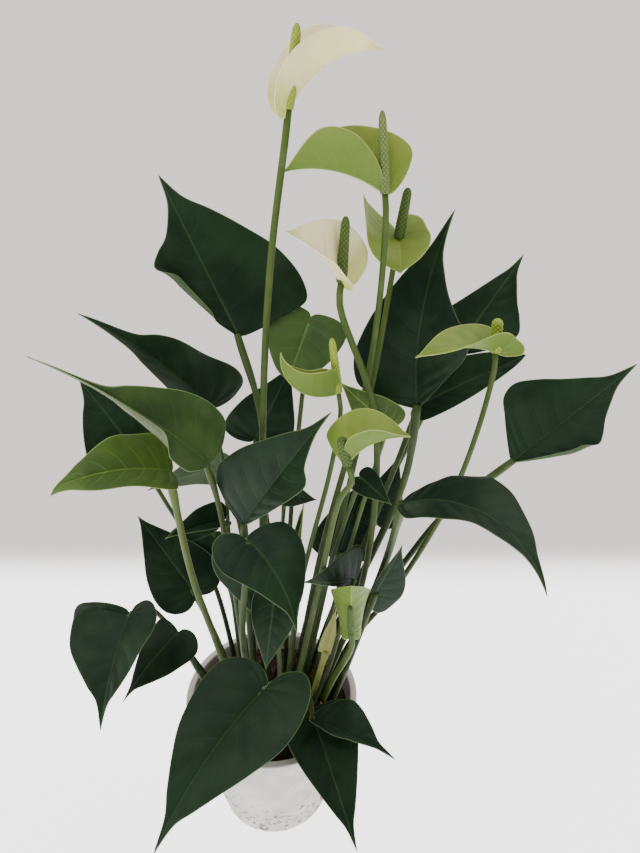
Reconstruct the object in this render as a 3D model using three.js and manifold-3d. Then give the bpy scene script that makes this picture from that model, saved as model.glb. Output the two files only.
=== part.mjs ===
// A potted flamingo flower. Leaves and blooms on long stalks stand in a round tapered pot.
// Units are millimetres, +Z is up, and the origin is the middle of the pot's underside.
import * as THREE from 'three';
import { mergeVertices } from 'three/addons/utils/BufferGeometryUtils.js';
import Module from 'manifold-3d';

const wasm = await Module();
wasm.setup();

// Driving dimensions
const potHeight = 110;
const potRimRadius = 65;
const potFootRadius = 42;
const potWall = 5.5;
const potFloor = 7;
const soilTop = 97;
const clearance = 0.3;
const stemDepth = 7;
const bladeThickness = 0.9;
const spatheThickness = 0.8;
const stalkSides = 5;
const stalkSteps = 7;
const potSegments = 36;

// Materials
const leafDark = { color: 0x24352a, roughness: 0.42, metalness: 0 };
const leafMid = { color: 0x3c5a2c, roughness: 0.45, metalness: 0 };
const leafYoung = { color: 0x5d7b33, roughness: 0.5, metalness: 0 };
const sheathGreen = { color: 0x8d9a5e, roughness: 0.6, metalness: 0 };
const stemGreen = { color: 0x6b7d3a, roughness: 0.55, metalness: 0 };
const spatheWhite = { color: 0xeeeadb, roughness: 0.5, metalness: 0 };
const spatheGreen = { color: 0x9dae52, roughness: 0.5, metalness: 0 };
const spadixGreen = { color: 0x7d8f3c, roughness: 0.65, metalness: 0 };
const soilBrown = { color: 0x3a2c24, roughness: 0.95, metalness: 0 };
const potWhite = { color: 0xdedcd6, roughness: 0.85, metalness: 0 };

// Leaves. foot is where the stalk enters the soil (x, y), and via are points that it passes. base and tip
// are the ends of the blade's midrib, and face is the way that its upper side looks. Lists of two numbers
// are for the left and the right half: width, lobe (its length over the blade's), swept (how far the edge
// slopes towards the tip), full and kite (how round and how straight the flank towards the tip is), and
// fold and cup, which lift the half where positive. drip is the narrow tip's share of the length. bend,
// curl and sweep turn the midrib down along its length, down near the tip, and sideways. wave is the
// height of the ripples along the edge. radii are the stalk's, from the foot up.
const leaves = [
  {
    name: 'leaf_01', look: leafDark, foot: [-7, 13], via: [[-3, 17, 220], [-1, 20, 335]],
    radii: [2.5, 1.9],
    base: [-13, 25, 388], tip: [-56, 45, 478], face: [0.17, -0.95, 0.25],
    width: [27, 50], lobe: [0.02, 0.03], swept: [0.48, 0.02], bend: 0.3, fold: [0.3, 0], cup: [0, 0],
    kite: [0.5, 0], full: [0, 0.3], drip: 0.08, wave: 1,
  },
  {
    name: 'leaf_02', look: leafDark, foot: [-15, 22], via: [[-17, 26, 220], [-30, 33, 300]],
    radii: [2.1, 1.5],
    base: [-37, 42, 332], tip: [-108, 25, 402], face: [0.4, -0.3, 0.85],
    width: [30, 31], lobe: [0.03, 0.06], swept: [-0.02, -0.1], bend: 0.45, fold: [0.3, 0.5],
    cup: [0, 0], kite: [0, 0.2], full: [1, 0.9], drip: 0.28, wave: 2,
  },
  {
    name: 'leaf_03', look: leafMid, foot: [-17, 3], via: [[-22, 0, 200], [-29, -4, 290]],
    radii: [2.3, 1.7],
    base: [-33, -6, 317], tip: [-125, -16, 391], face: [0.4, -0.45, 0.8],
    width: [24, 31], lobe: [0.03, 0.05], swept: [0.15, 0.05], bend: 0.6, fold: [0.4, 0.3], cup: [0, 0],
    kite: [0, 0], full: [0.6, 0.2], drip: 0.3, wave: 0.5, ease: -1,
  },
  {
    name: 'leaf_04', look: leafDark, foot: [-27, 24], via: [[-48, 52, 175], [-80, 60, 245]],
    radii: [2.1, 1.6],
    base: [-94, 62, 278], tip: [-132, 72, 337], face: [0.4, -0.7, 0.5],
    width: [33, 30], lobe: [0.1, 0.1], bend: 0.4, fold: [0.1, 0.1], cup: [-0.2, -0.2], full: [0.6, 0.6],
    drip: 0.1, wave: 1,
  },
  {
    name: 'leaf_05', look: leafYoung, foot: [-24, -3], via: [[-38, -2, 161], [-49, -9, 230]],
    radii: [2.6, 2.2],
    base: [-54, -15, 316], tip: [-118, -40, 314], face: [0, -0.45, 0.9],
    width: [19, 24], lobe: [0.05, 0.06], swept: [0.05, 0.1], bend: 1.2, curl: 0.7, fold: [0.3, 0.3],
    cup: [0, 0], kite: [0, 0], full: [1.4, 0.5], drip: 0.12, wave: 2,
  },
  {
    name: 'leaf_06', look: leafDark, foot: [4, 25], via: [[2, 34, 200]], radii: [2, 1.5],
    base: [-9, 50, 302], tip: [18, 60, 355], face: [0.2, -0.8, 0.5],
    width: [24, 24], lobe: [0.08, 0.08], bend: 0.3, fold: [0.1, 0.1], cup: [0, 0], wave: 1,
  },
  {
    name: 'leaf_07', look: leafDark, foot: [-10, -8], via: [[-13, -7, 180]], radii: [2.5, 2],
    base: [-12, -15, 276], tip: [43, -30, 364], face: [-0.3, -0.8, 0.5],
    width: [34, 24], lobe: [0.03, 0.03], swept: [0.12, 0.6], bend: 0.3, fold: [0.1, 0.6], cup: [0, 0],
    kite: [0, 0], full: [0.3, 0.2], drip: 0.08, wave: 1,
  },
  {
    name: 'leaf_08', look: leafDark, foot: [-3, -22], via: [[-13, -42, 200]], radii: [2.4, 1.9],
    base: [-5, -50, 291], tip: [24, -85, 253], face: [0.1, -0.6, 0.8],
    width: [24, 23], lobe: [0.06, 0.22], swept: [0.12, -0.05], bend: 0.6, sweep: 0.6, fold: [0.1, 0.1],
    cup: [-0.2, -0.2], kite: [0, 0.3], full: [0.3, 0.3], drip: 0.12, wave: 1,
  },
  {
    name: 'leaf_09', look: leafDark, foot: [-30, 14], via: [[-42, 22, 140]], radii: [2.4, 1.8],
    base: [-58, 25, 188], tip: [-97, 45, 241], face: [0.3, -0.8, 0.4],
    width: [26, 26], lobe: [0.15, 0.15], bend: 0.2, fold: [0.1, 0.1], cup: [-0.2, -0.2], wave: 1,
  },
  {
    name: 'leaf_10', look: leafDark, foot: [-13, 12], via: [[-28, 30, 200]], radii: [1.9, 1.4],
    base: [-30, 48, 283], tip: [-90, 54, 257], face: [0.1, 0.9, 0.3],
    width: [13, 20], lobe: [0.1, 0.1], bend: 0.3, fold: [0.1, 0.1], cup: [0, 0], wave: 1,
  },
  {
    name: 'leaf_11', look: leafDark, foot: [-22, 10], via: [[-27, 16, 180]], radii: [1.7, 1.2],
    base: [-31, 22, 253], tip: [-69, 8, 248], face: [0, -0.4, 0.9],
    width: [14, 14], lobe: [0.1, 0.1], bend: 0.5, fold: [0.7, 0.7], cup: [0, 0], wave: 0,
  },
  {
    name: 'leaf_12', look: leafDark, foot: [-34, -1], via: [[-58, 4, 140], [-82, 0, 192]],
    radii: [2, 1.6],
    base: [-88, -30, 215], tip: [-100, -80, 167], face: [-0.3, -0.5, 0.8],
    width: [27, 42], lobe: [0.15, 0.08], swept: [0, 0.05], bend: 0.5, fold: [0.3, 0.1], cup: [0, -0.2],
    kite: [0.3, 0], full: [0.3, 0.3], drip: 0.15, wave: 1,
  },
  {
    name: 'leaf_13', look: leafDark, foot: [-33, -11], via: [[-52, -9, 140]], radii: [1.9, 1.5],
    base: [-62, -15, 185], tip: [-97, -45, 151], face: [-0.3, -0.5, 0.8],
    width: [21, 19], lobe: [0.12, 0.03], swept: [0, 0], bend: 0.5, fold: [0, 0], cup: [-0.2, -0.2],
    kite: [0, 0.3], full: [0.2, 0.2], drip: 0.12, wave: 1,
  },
  {
    name: 'leaf_14', look: leafDark, foot: [-2, -32], via: [[-1, -46, 140]], radii: [2.4, 2],
    base: [0, -60, 180], tip: [-66, -120, 104], face: [-0.1, -0.6, 0.8],
    width: [38, 34], lobe: [0.22, 0.1], swept: [0, 0.06], bend: 0.3, sweep: -0.3, fold: [0.4, 0.1],
    cup: [0, -0.2], kite: [0.3, 0], full: [0.3, 0.2], drip: 0.12, wave: 1,
  },
  {
    name: 'leaf_15', look: leafDark, foot: [12, -33], via: [[20, -44, 120]], radii: [2.1, 1.7],
    base: [31, -41, 134], tip: [61, -105, 81], face: [0.1, -0.6, 0.8],
    width: [29, 22], lobe: [0.05, 0.05], bend: 0.4, fold: [0, 0], cup: [-0.2, -0.2], kite: [0.5, 0.3],
    full: [0.2, 0.2], drip: 0.1, wave: 1,
  },
  {
    name: 'leaf_16', look: leafDark, foot: [23, -27], via: [[30, -32, 137]], radii: [1.9, 1.5],
    base: [31, -51, 141], tip: [88, -62, 115], face: [0.1, -0.3, 0.95],
    width: [22, 14], lobe: [0.06, 0.06], swept: [0.3, 0.2], bend: 0.6, fold: [0.1, 0.9], cup: [-0.1, 0],
    full: [0.6, 0.2], drip: 0.18, wave: 1,
  },
  {
    name: 'leaf_17', look: leafDark, foot: [27, 6], via: [[50, 9, 170], [92, 12, 293]],
    radii: [2.9, 2.3],
    base: [97, 12, 346], tip: [114, 35, 461], face: [-0.2, -0.9, 0.3],
    width: [38, 31], lobe: [0.02, 0.02], swept: [0.15, 0.3], bend: 0.3, sweep: 0.5, fold: [0.2, 0.3],
    cup: [0, 0], kite: [0.4, 1.15], full: [0.6, 0], drip: 0.14, wave: 2,
  },
  {
    name: 'leaf_18', look: leafDark, foot: [28, 27], via: [[60, 42, 200]], radii: [2.4, 1.8],
    base: [125, 50, 367], tip: [164, 60, 429], face: [-0.2, -0.9, 0.3],
    width: [24, 26], lobe: [0.05, 0.05], swept: [0.05, 0.35], bend: 0.3, fold: [0.1, 0.1],
    cup: [-0.1, -0.1], kite: [1, 0.5], full: [0, 0.4], drip: 0.08, wave: 1,
  },
  {
    name: 'leaf_19', look: leafDark, foot: [41, 9], via: [[54, 12, 150], [92, 11, 219], [122, 10, 270]],
    radii: [2.4, 2],
    base: [160, 10, 308], tip: [226, 10, 376], face: [-0.3, -0.8, 0.5],
    width: [38, 27], lobe: [0.02, 0.02], swept: [0.26, 0.4], bend: -0.2, fold: [0.3, 0.3], cup: [0, 0],
    kite: [0.4, 0.5], full: [0.4, 0.4], drip: 0.1, wave: 2,
  },
  {
    name: 'leaf_20', look: leafDark, foot: [40, -8], via: [[58, -8, 160], [80, -2, 233]],
    radii: [2.8, 2.4],
    base: [83, -40, 309], tip: [155, -95, 289], face: [0.3, -0.2, 0.95],
    width: [32, 20], lobe: [0.02, 0.03], swept: [0.28, 0.1], bend: 1.5, sweep: 0.8, fold: [0.1, 0.1],
    cup: [0, 0], full: [0.4, 0.4], drip: 0.12, wave: 1,
  },
  {
    name: 'leaf_21', look: leafMid, foot: [9, 15], via: [[16, 24, 250]], radii: [1.9, 1.5],
    base: [31, 35, 396], tip: [17, 20, 360], face: [-0.1, -0.9, 0.3],
    width: [25, 25], lobe: [0.1, 0.1], bend: 0.2, fold: [0.1, 0.1], cup: [0, 0], kite: [0, 0],
    full: [1.2, 1.2], wave: 2,
  },
  {
    name: 'leaf_22', look: leafDark, foot: [14, -8], via: [[40, -4, 220]], radii: [1.6, 1.2],
    base: [61, -15, 312], tip: [80, -28, 300], face: [0, -0.7, 0.7],
    width: [9, 9], lobe: [0.1, 0.1], bend: 0.2, fold: [0, 0], cup: [0, 0], wave: 0,
  },
  {
    name: 'leaf_23', look: leafDark, foot: [23, 19], via: [[48, 21, 180]], radii: [1.8, 1.4],
    base: [76, 24, 252], tip: [90, 27, 304], face: [0, -0.9, 0.4],
    width: [15, 15], lobe: [0.1, 0.1], bend: 0.2, fold: [0, 0], cup: [0, 0], wave: 0,
  },
  {
    name: 'leaf_24', look: leafDark, foot: [16, 17], via: [[26, 34, 150]], radii: [1.9, 1.5],
    base: [51, 28, 221], tip: [67, 33, 283], face: [0, -1, 0.2],
    width: [22, 22], lobe: [0.1, 0.1], bend: 0.2, fold: [0, 0], cup: [0, 0], wave: 0,
  },
  {
    name: 'leaf_25', look: leafDark, foot: [39, -13], via: [[56, -14, 150]], radii: [2, 1.6],
    base: [74, -17, 222], tip: [89, -19, 264], face: [0.1, -0.9, 0.2],
    width: [5, 17], lobe: [0.02, 0.4], bend: 0.1, fold: [0, 0], cup: [0, 0], kite: [0, 0], wave: 0,
  },
  {
    name: 'leaf_26', look: leafDark, foot: [22, -19], via: [[42, -17, 150]], radii: [1.9, 1.5],
    base: [59, -17, 234], tip: [26, -41, 252], face: [0.55, -0.8, 0.1],
    width: [4, 24], lobe: [0.1, 0.1], bend: 0.4, fold: [0, 0], cup: [-0.2, -0.2], wave: 0,
  },
  {
    name: 'leaf_27', look: leafDark, foot: [-13, -19], via: [[-16, -22, 180]], radii: [1.9, 1.5],
    base: [-14, -27, 264], tip: [-8, -34, 221], face: [0, -0.8, 0.6],
    width: [16, 18], lobe: [0.2, 0.2], bend: 0.4, fold: [0, 0], cup: [-0.2, -0.2], wave: 0,
  },
  {
    name: 'leaf_28', look: leafDark, foot: [5, -21], via: [[9, -30, 165]], radii: [1.9, 1.5],
    base: [8, -38, 237], tip: [2, -55, 192], face: [0, -0.8, 0.6],
    width: [16, 14], lobe: [0.2, 0.2], bend: 0.4, fold: [0, 0], cup: [-0.2, -0.2], wave: 0,
  },
  {
    name: 'leaf_29', look: leafYoung, foot: [25, 0], via: [[55, -1, 240]], radii: [1.5, 1.2],
    base: [78, -3, 341], tip: [48, -3, 370], face: [0, -1, 0.1],
    width: [14, 14], lobe: [0.1, 0.1], bend: 0.2, fold: [0.1, 0.1], cup: [0, 0], wave: 0,
  },
  {
    name: 'leaf_30', look: leafDark, foot: [28, 14], via: [[44, 15, 160], [66, 8, 240]],
    radii: [2.2, 1.7],
    base: [100, 28, 340], tip: [171, 48, 366], face: [0, -0.8, 0.6],
    width: [20, 12], lobe: [0.1, 0.1], bend: 0.3, fold: [0.2, 0.2], cup: [0, 0], full: [0.8, 0.8],
    wave: 0,
  },
  {
    name: 'leaf_31', look: leafDark, foot: [-22, 30], via: [[-32, 44, 160]], radii: [1.9, 1.4],
    base: [-43, 52, 221], tip: [-100, 56, 195], face: [0, -0.9, 0.4],
    width: [17, 17], lobe: [0.1, 0.1], bend: 1, fold: [0, 0], cup: [-0.3, -0.3], wave: 0,
  },
  {
    name: 'leaf_32', look: leafDark, foot: [4, 10], via: [[6, 12, 180]], radii: [1.5, 1.2],
    base: [13, 12, 283], tip: [35, 12, 277], face: [0, -1, 0.2],
    width: [8, 9], lobe: [0.2, 0.2], bend: 0.2, fold: [0.1, 0.1], cup: [0, 0], wave: 0,
  },
  {
    name: 'leaf_33', look: leafYoung, foot: [12, 2], via: [[18, 4, 170]], radii: [1.8, 1.5],
    base: [23, 5, 249], tip: [26, 6, 279], face: [-0.5, -0.8, 0.2],
    width: [6, 6], lobe: [0.05, 0.05], bend: 0, fold: [0.9, 0.9], cup: [0.8, 0.8], wave: 0,
  },
  {
    name: 'sheath', look: sheathGreen, foot: [26, -8], via: [[34, -10, 130]], radii: [2.4, 2.1],
    base: [41, -11, 163], tip: [48, -12, 205], face: [-0.2, -0.9, 0.2],
    width: [6, 6], lobe: [0.02, 0.02], bend: 0, fold: [0.3, 0.3], cup: [0, 0], wave: 0,
  },
];

// Blooms. base is where the spathe and the spadix sit on the stalk. The spathe reads as a leaf does, and
// ease is how far its fold and cup fade towards the tip. end is the spadix's tip.
const blooms = [
  {
    name: 'bloom_1', look: spatheWhite, foot: [-2, 0], via: [[-2, 0, 230], [3, 2, 360], [10, 4, 440]],
    radii: [2.5, 1.9],
    base: [21, 5, 514], end: [26, 5, 551], spadix: [3.2, 2.2], tip: [70, 20, 540],
    face: [-0.5, -0.1, 0.85],
    width: [22, 18], lobe: [0.2, 0.2], swept: [0.35, 0.3], bend: 1.2, fold: [0.8, 0.8], cup: [0.6, 0.8],
    ease: 0.3,
  },
  {
    name: 'bloom_2', look: spatheGreen, foot: [15, 11], via: [[36, 7, 230], [66, 0, 380]],
    radii: [2.2, 1.7],
    base: [70, -3, 475], end: [67, -1, 514], spadix: [3.1, 1.8], tip: [17, 9, 484],
    face: [0.1, -0.1, 1],
    width: [23, 27], lobe: [0.03, 0.08], swept: [0.4, 0.05], bend: 0.9, fold: [1.3, 1], cup: [0.2, 0.3],
    ease: 0.2,
  },
  {
    name: 'bloom_3', look: spatheGreen, foot: [20, 0], via: [[44, 3, 230], [70, 9, 375]],
    radii: [2.1, 1.6],
    base: [81, 22, 447], end: [85, 24, 474], spadix: [3.3, 2.4], tip: [81, 4, 432],
    face: [0.1, -0.5, 0.85],
    width: [18, 38], lobe: [0.9, 0.9], bend: 0.6, fold: [0.2, 0], cup: [0.4, 1.7],
  },
  {
    name: 'bloom_4', look: spatheWhite, foot: [31, -2], via: [[66, -6, 225], [69, -9, 350]],
    radii: [2.3, 1.9],
    base: [48, -10, 431], end: [50, -8, 465], spadix: [3.3, 2.2], tip: [19, -25, 461],
    face: [0.5, -0.3, 0.7],
    width: [9, 26], lobe: [0.1, 0.25], swept: [0, 0], bend: 0.7, fold: [0.7, 0.4], cup: [0.2, 0.7],
    ease: 0.6,
  },
  {
    name: 'bloom_5', look: spatheGreen, foot: [8, -9], via: [[24, -12, 225], [43, -15, 317]],
    radii: [1.9, 1.4],
    base: [47, -20, 371], end: [43, -22, 404], spadix: [2.8, 1.8], tip: [16, -30, 399],
    face: [0.5, 0.1, 0.75],
    width: [19, 15], lobe: [0.05, 0.05], bend: -2, fold: [1.2, 1.1], cup: [0.3, 0.3], ease: 0.2,
  },
  {
    name: 'bloom_6', look: spatheGreen, foot: [11, -16], via: [[36, -26, 235], [48, -38, 311]],
    radii: [2.2, 1.8],
    base: [52, -45, 339], end: [48, -47, 357], spadix: [3.5, 2.8], tip: [84, -55, 362],
    face: [-0.2, -0.1, 0.95],
    width: [25, 14], lobe: [0.1, 0.03], swept: [0, 0.45], bend: 1.15, fold: [0.6, 1.2], cup: [0.3, 0.2],
    ease: 0.3,
  },
  {
    name: 'bloom_7', look: spatheGreen, foot: [39, 1],
    via: [[56, 4, 150], [89, 1, 210], [124, -2, 300]], radii: [2.1, 1.6],
    base: [137, -2, 388], end: [136, -2, 408], spadix: [3.8, 3], tip: [87, -32, 397],
    face: [0.1, -0.2, 0.95],
    width: [15, 16], lobe: [0.35, 0.3], bend: 0.7, fold: [1.2, 0.5], cup: [0.3, 0.2], ease: 1,
  },
  {
    name: 'bloom_8', look: spatheGreen, foot: [32, -10], via: [[45, -22, 145]], radii: [2.5, 2.1],
    base: [57, -36, 206], end: [56, -36, 228], spadix: [2.6, 2], tip: [56, -42, 250],
    face: [0, 0.9, 0.2],
    width: [17, 17], lobe: [0.2, 0.2], swept: [0.1, 0.1], bend: 0.8, fold: [0.4, 0.4], cup: [1.5, 1.5],
    full: [1, 1], ease: 0.9,
  },
];

// Half outlines of a leaf and a spathe: along the midrib, and out from it, as shares of the length and the
// half width. Negative values run back along the lobe, as shares of its length.
const leafOutline = [
  [-0.6, 0.06], [-1, 0.38], [-0.8, 0.7], [-0.15, 0.94], [0.14, 1], [0.38, 0.84], [0.6, 0.53], [0.78, 0.26],
  [0.91, 0.08], [1, 0],
];
const spatheOutline = [
  [-0.6, 0.08], [-1, 0.42], [-0.75, 0.74], [-0.1, 0.94], [0.16, 1], [0.4, 0.92], [0.62, 0.69], [0.8, 0.37],
  [0.92, 0.12], [1, 0],
];

function vector(point) {
  return new THREE.Vector3(point[0], point[1], point[2]);
}

function geometryFromArrays(positions, indices) {
  const geometry = new THREE.BufferGeometry();
  geometry.setAttribute('position', new THREE.Float32BufferAttribute(positions, 3));
  geometry.setIndex(indices);
  return geometry;
}

function solidFrom(geometry) {
  const plain = geometry.clone();
  plain.deleteAttribute('normal');
  plain.deleteAttribute('uv');
  const merged = mergeVertices(plain, 1e-4);
  const vertProperties = new Float32Array(merged.attributes.position.array);
  const triVerts = new Uint32Array(merged.index.array);
  return new wasm.Manifold(new wasm.Mesh({ numProp: 3, vertProperties, triVerts }));
}

function meshFrom(solid, name, look) {
  const result = solid.getMesh();
  const geometry = geometryFromArrays(Array.from(result.vertProperties), Array.from(result.triVerts));
  geometry.computeVertexNormals();
  const mesh = new THREE.Mesh(geometry, new THREE.MeshStandardMaterial(look));
  mesh.name = name;
  return mesh;
}

// The midrib bends, curls and sweeps between the base and the tip, and carries a side and an up direction
function midribOf(blade) {
  const { bend = 0, sweep = 0, curl = 0 } = blade;
  const steps = 30;
  const start = vector(blade.base);
  const chord = vector(blade.tip).sub(start);
  const along = chord.clone().normalize();
  const up = vector(blade.face);
  up.addScaledVector(along, -up.dot(along)).normalize();
  const side = along.clone().cross(up);
  const points = [new THREE.Vector3()];
  const tangents = [];
  const sides = [];
  for (let i = 0; i <= steps; i += 1) {
    const s = i / steps;
    const pitch = -bend * (s - 0.5) - curl * Math.max(0, (s - 0.7) / 0.3) ** 2;
    const yaw = sweep * (s - 0.5);
    const tangent = new THREE.Vector3();
    tangent.addScaledVector(along, Math.cos(pitch) * Math.cos(yaw));
    tangent.addScaledVector(side, Math.cos(pitch) * Math.sin(yaw));
    tangent.addScaledVector(up, Math.sin(pitch));
    tangents.push(tangent);
    sides.push(along.clone().multiplyScalar(-Math.sin(yaw)).addScaledVector(side, Math.cos(yaw)));
    if (i > 0) {
      const middle = tangents[i - 1].clone().add(tangent).multiplyScalar(0.5 / steps);
      points.push(points[i - 1].clone().add(middle));
    }
  }
  const end = points[steps];
  const turn = new THREE.Quaternion().setFromUnitVectors(end.clone().normalize(), along);
  const length = chord.length() / end.length();
  points.forEach((point) => point.multiplyScalar(length).applyQuaternion(turn).add(start));
  tangents.forEach((tangent) => tangent.applyQuaternion(turn));
  sides.forEach((direction) => direction.applyQuaternion(turn));
  return function at(s) {
    const place = Math.min(Math.max(s, 0), 1) * steps;
    const i = Math.min(Math.floor(place), steps - 1);
    const mix = place - i;
    const tangent = tangents[i].clone().lerp(tangents[i + 1], mix).normalize();
    const sideways = sides[i].clone().lerp(sides[i + 1], mix).normalize();
    const point = points[i].clone().lerp(points[i + 1], mix);
    point.addScaledVector(tangent, Math.min(s, 0) * length);
    return { point, side: sideways, up: sideways.clone().cross(tangent) };
  };
}

// A point of the blade, on the half given by -1 for left or 1 for right, at a share of the way from the
// midrib to a point of the outline
function bladePoint(blade, at, half, outlinePoint, share) {
  const { swept = [0, 0], kite = [0, 0], full = [0, 0], drip = 0, wave = 0, ease = 0 } = blade;
  const own = half < 0 ? 0 : 1;
  const [place, out] = outlinePoint;
  const along = place < 0 ? place * blade.lobe[own] : place * (place < 1 ? 1 - drip : 1);
  const reach = along + swept[own] * out * (1 - Math.max(along, 0));
  const root = place > 0 ? reach ** 1.35 : 0;
  const s = root + (reach - root) * share;
  const round = place > 0.14 ? out ** (1 / (1 + full[own])) : out;
  const straight = place > 0.14 ? (1 - place) / 0.86 : out;
  const u = THREE.MathUtils.lerp(round, straight, kite[own]) * share;
  const fade = Math.max(0, 1 - ease * Math.max(s, 0));
  const fold = blade.fold[own] * fade;
  const cup = blade.cup[own] * fade + 1e-6;
  const across = (Math.sin(fold + cup * u) - Math.sin(fold)) / cup;
  const rise = (Math.cos(fold) - Math.cos(fold + cup * u)) / cup;
  const ripple = wave * u * u * Math.sin(12 * s + 2 * half);
  const frame = at(s);
  const point = frame.point.clone();
  point.addScaledVector(frame.side, half * blade.width[own] * across);
  return point.addScaledVector(frame.up, blade.width[own] * rise + ripple);
}

// A closed sheet: the surface is copied to both sides of itself and its rim is closed
function thicken(points, triangles, thickness) {
  const surface = geometryFromArrays(points.flatMap((point) => point.toArray()), triangles.flat());
  surface.computeVertexNormals();
  const normals = surface.attributes.normal;
  const positions = [];
  [0.5, -0.5].forEach((offset) => {
    points.forEach((point, i) => {
      const normal = new THREE.Vector3().fromBufferAttribute(normals, i);
      positions.push(...point.clone().addScaledVector(normal, offset * thickness).toArray());
    });
  });
  const below = points.length;
  const used = new Set();
  triangles.forEach(([a, b, c]) => {
    [[a, b], [b, c], [c, a]].forEach((edge) => used.add(edge.join()));
  });
  const faces = [];
  triangles.forEach(([a, b, c]) => {
    faces.push([a, b, c], [a + below, c + below, b + below]);
    [[a, b], [b, c], [c, a]].forEach(([from, to]) => {
      if (!used.has([to, from].join())) {
        faces.push([to, from, from + below], [to, from + below, to + below]);
      }
    });
  });
  return geometryFromArrays(positions, faces.flat());
}

// The blade is a fan round its base over the lobes, and a grid from there to the tip
function bladeGeometry(blade, outline, columns, thickness) {
  const at = midribOf(blade);
  const points = [bladePoint(blade, at, 1, [0, 0], 0)];
  const triangles = [];
  const midrib = outline.map((outlinePoint) => {
    if (outlinePoint[0] <= 0) {
      return 0;
    }
    points.push(bladePoint(blade, at, 1, outlinePoint, 0));
    return points.length - 1;
  });
  const tip = midrib[outline.length - 1];
  [-1, 1].forEach((half) => {
    const rows = outline.map((outlinePoint, i) => {
      const row = [midrib[i]];
      for (let j = 1; j <= columns; j += 1) {
        if (i === outline.length - 1) {
          row.push(tip);
        } else {
          points.push(bladePoint(blade, at, half, outlinePoint, j / columns));
          row.push(points.length - 1);
        }
      }
      return row;
    });
    for (let i = 0; i < rows.length - 1; i += 1) {
      for (let j = 0; j < columns; j += 1) {
        const corners = [rows[i][j], rows[i][j + 1], rows[i + 1][j + 1], rows[i + 1][j]];
        [[0, 1, 2], [0, 2, 3]].forEach((order) => {
          const triangle = order.map((k) => corners[k]);
          if (new Set(triangle).size === 3) {
            triangles.push(half > 0 ? triangle : triangle.reverse());
          }
        });
      }
    }
  });
  return thicken(points, triangles, thickness);
}

// A round stalk along a curve, with its radius going from the first of radii to the second, and swelling
// or shrinking by the given shape
function stalkGeometry(route, radii, sides, steps, shape = () => 1) {
  const curve = new THREE.CatmullRomCurve3(route.map(vector));
  const frames = curve.computeFrenetFrames(steps, false);
  const geometry = new THREE.CylinderGeometry(1, 1, 1, sides, steps);
  const positions = geometry.attributes.position;
  for (let i = 0; i < positions.count; i += 1) {
    const step = Math.round((positions.getY(i) + 0.5) * steps);
    const t = step / steps;
    const turn = Math.atan2(positions.getX(i), positions.getZ(i));
    const radius = THREE.MathUtils.lerp(radii[0], radii[1], t) * shape(t, turn);
    const point = curve.getPointAt(t);
    point.addScaledVector(frames.binormals[step], positions.getX(i) * radius);
    point.addScaledVector(frames.normals[step], positions.getZ(i) * radius);
    positions.setXYZ(i, point.x, point.y, point.z);
  }
  return geometry;
}

function footOf(plant) {
  return [plant.foot[0], plant.foot[1], soilTop - stemDepth];
}

function leafRoute(leaf) {
  return [footOf(leaf), ...leaf.via, midribOf(leaf)(0.015).point.toArray()];
}

function leafSolid(leaf) {
  const curved = leaf.cup[0] !== 0 || leaf.cup[1] !== 0;
  const blade = solidFrom(bladeGeometry(leaf, leafOutline, curved ? 2 : 1, bladeThickness));
  return blade.add(solidFrom(stalkGeometry(leafRoute(leaf), leaf.radii, stalkSides, stalkSteps)));
}

// The florets stand out of the spadix in rows
function floretShape(t, turn) {
  const swell = 0.8 + 0.2 * Math.sin(Math.min(t * 4, 1) * Math.PI / 2);
  const nose = Math.sqrt(1 - Math.max(0, (t - 0.86) / 0.15) ** 2);
  return swell * nose * (1 + 0.035 * Math.cos(4 * turn + 14 * Math.PI * t));
}

function bloomRoute(bloom) {
  const axis = vector(bloom.end).sub(vector(bloom.base)).normalize();
  const neck = vector(bloom.base).addScaledVector(axis, -12);
  return [footOf(bloom), ...bloom.via, neck.toArray(), bloom.base];
}

function bloomMeshes(bloom) {
  const base = vector(bloom.base);
  const end = vector(bloom.end);
  const axis = end.clone().sub(base).normalize();
  const onAxis = (from, distance) => from.clone().addScaledVector(axis, distance).toArray();
  const spine = [onAxis(base, clearance), base.clone().lerp(end, 0.5).toArray(), bloom.end];
  const spadix = solidFrom(stalkGeometry(spine, bloom.spadix, 8, 10, floretShape));
  const stalk = solidFrom(stalkGeometry(bloomRoute(bloom), bloom.radii, stalkSides, stalkSteps));
  const wide = bloom.spadix[0] + 2 * clearance;
  const inside = [onAxis(base, -clearance), onAxis(end, 4)];
  const spadixRoom = solidFrom(stalkGeometry(inside, [wide, wide], 8, 1));
  const around = bloom.radii.map((radius) => radius + 2 * clearance);
  const stalkRoom = solidFrom(stalkGeometry(bloomRoute(bloom), around, stalkSides, stalkSteps));
  const blade = solidFrom(bladeGeometry(bloom, spatheOutline, 3, spatheThickness));
  const spathe = blade.subtract(spadixRoom).subtract(stalkRoom);
  return [
    meshFrom(spathe, `${bloom.name}_spathe`, bloom.look),
    meshFrom(spadix, `${bloom.name}_spadix`, spadixGreen),
    meshFrom(stalk, `${bloom.name}_stalk`, stemGreen),
  ];
}

function innerRadius(z) {
  return potFootRadius - potWall + (potRimRadius - potFootRadius) * (z / potHeight);
}

function latheAboutZ(profile, segments) {
  const geometry = new THREE.LatheGeometry(profile.map(([r, z]) => new THREE.Vector2(r, z)), segments);
  return geometry.rotateX(Math.PI / 2);
}

function soilHeight(x, y) {
  const mound = 3 * Math.exp(-((x - 6) ** 2 + y ** 2) / 700);
  const lumps = 0.9 * Math.sin(0.23 * x + 1) * Math.cos(0.2 * y) + 0.6 * Math.sin(0.41 * x - 0.35 * y);
  return soilTop + mound + lumps;
}

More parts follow.
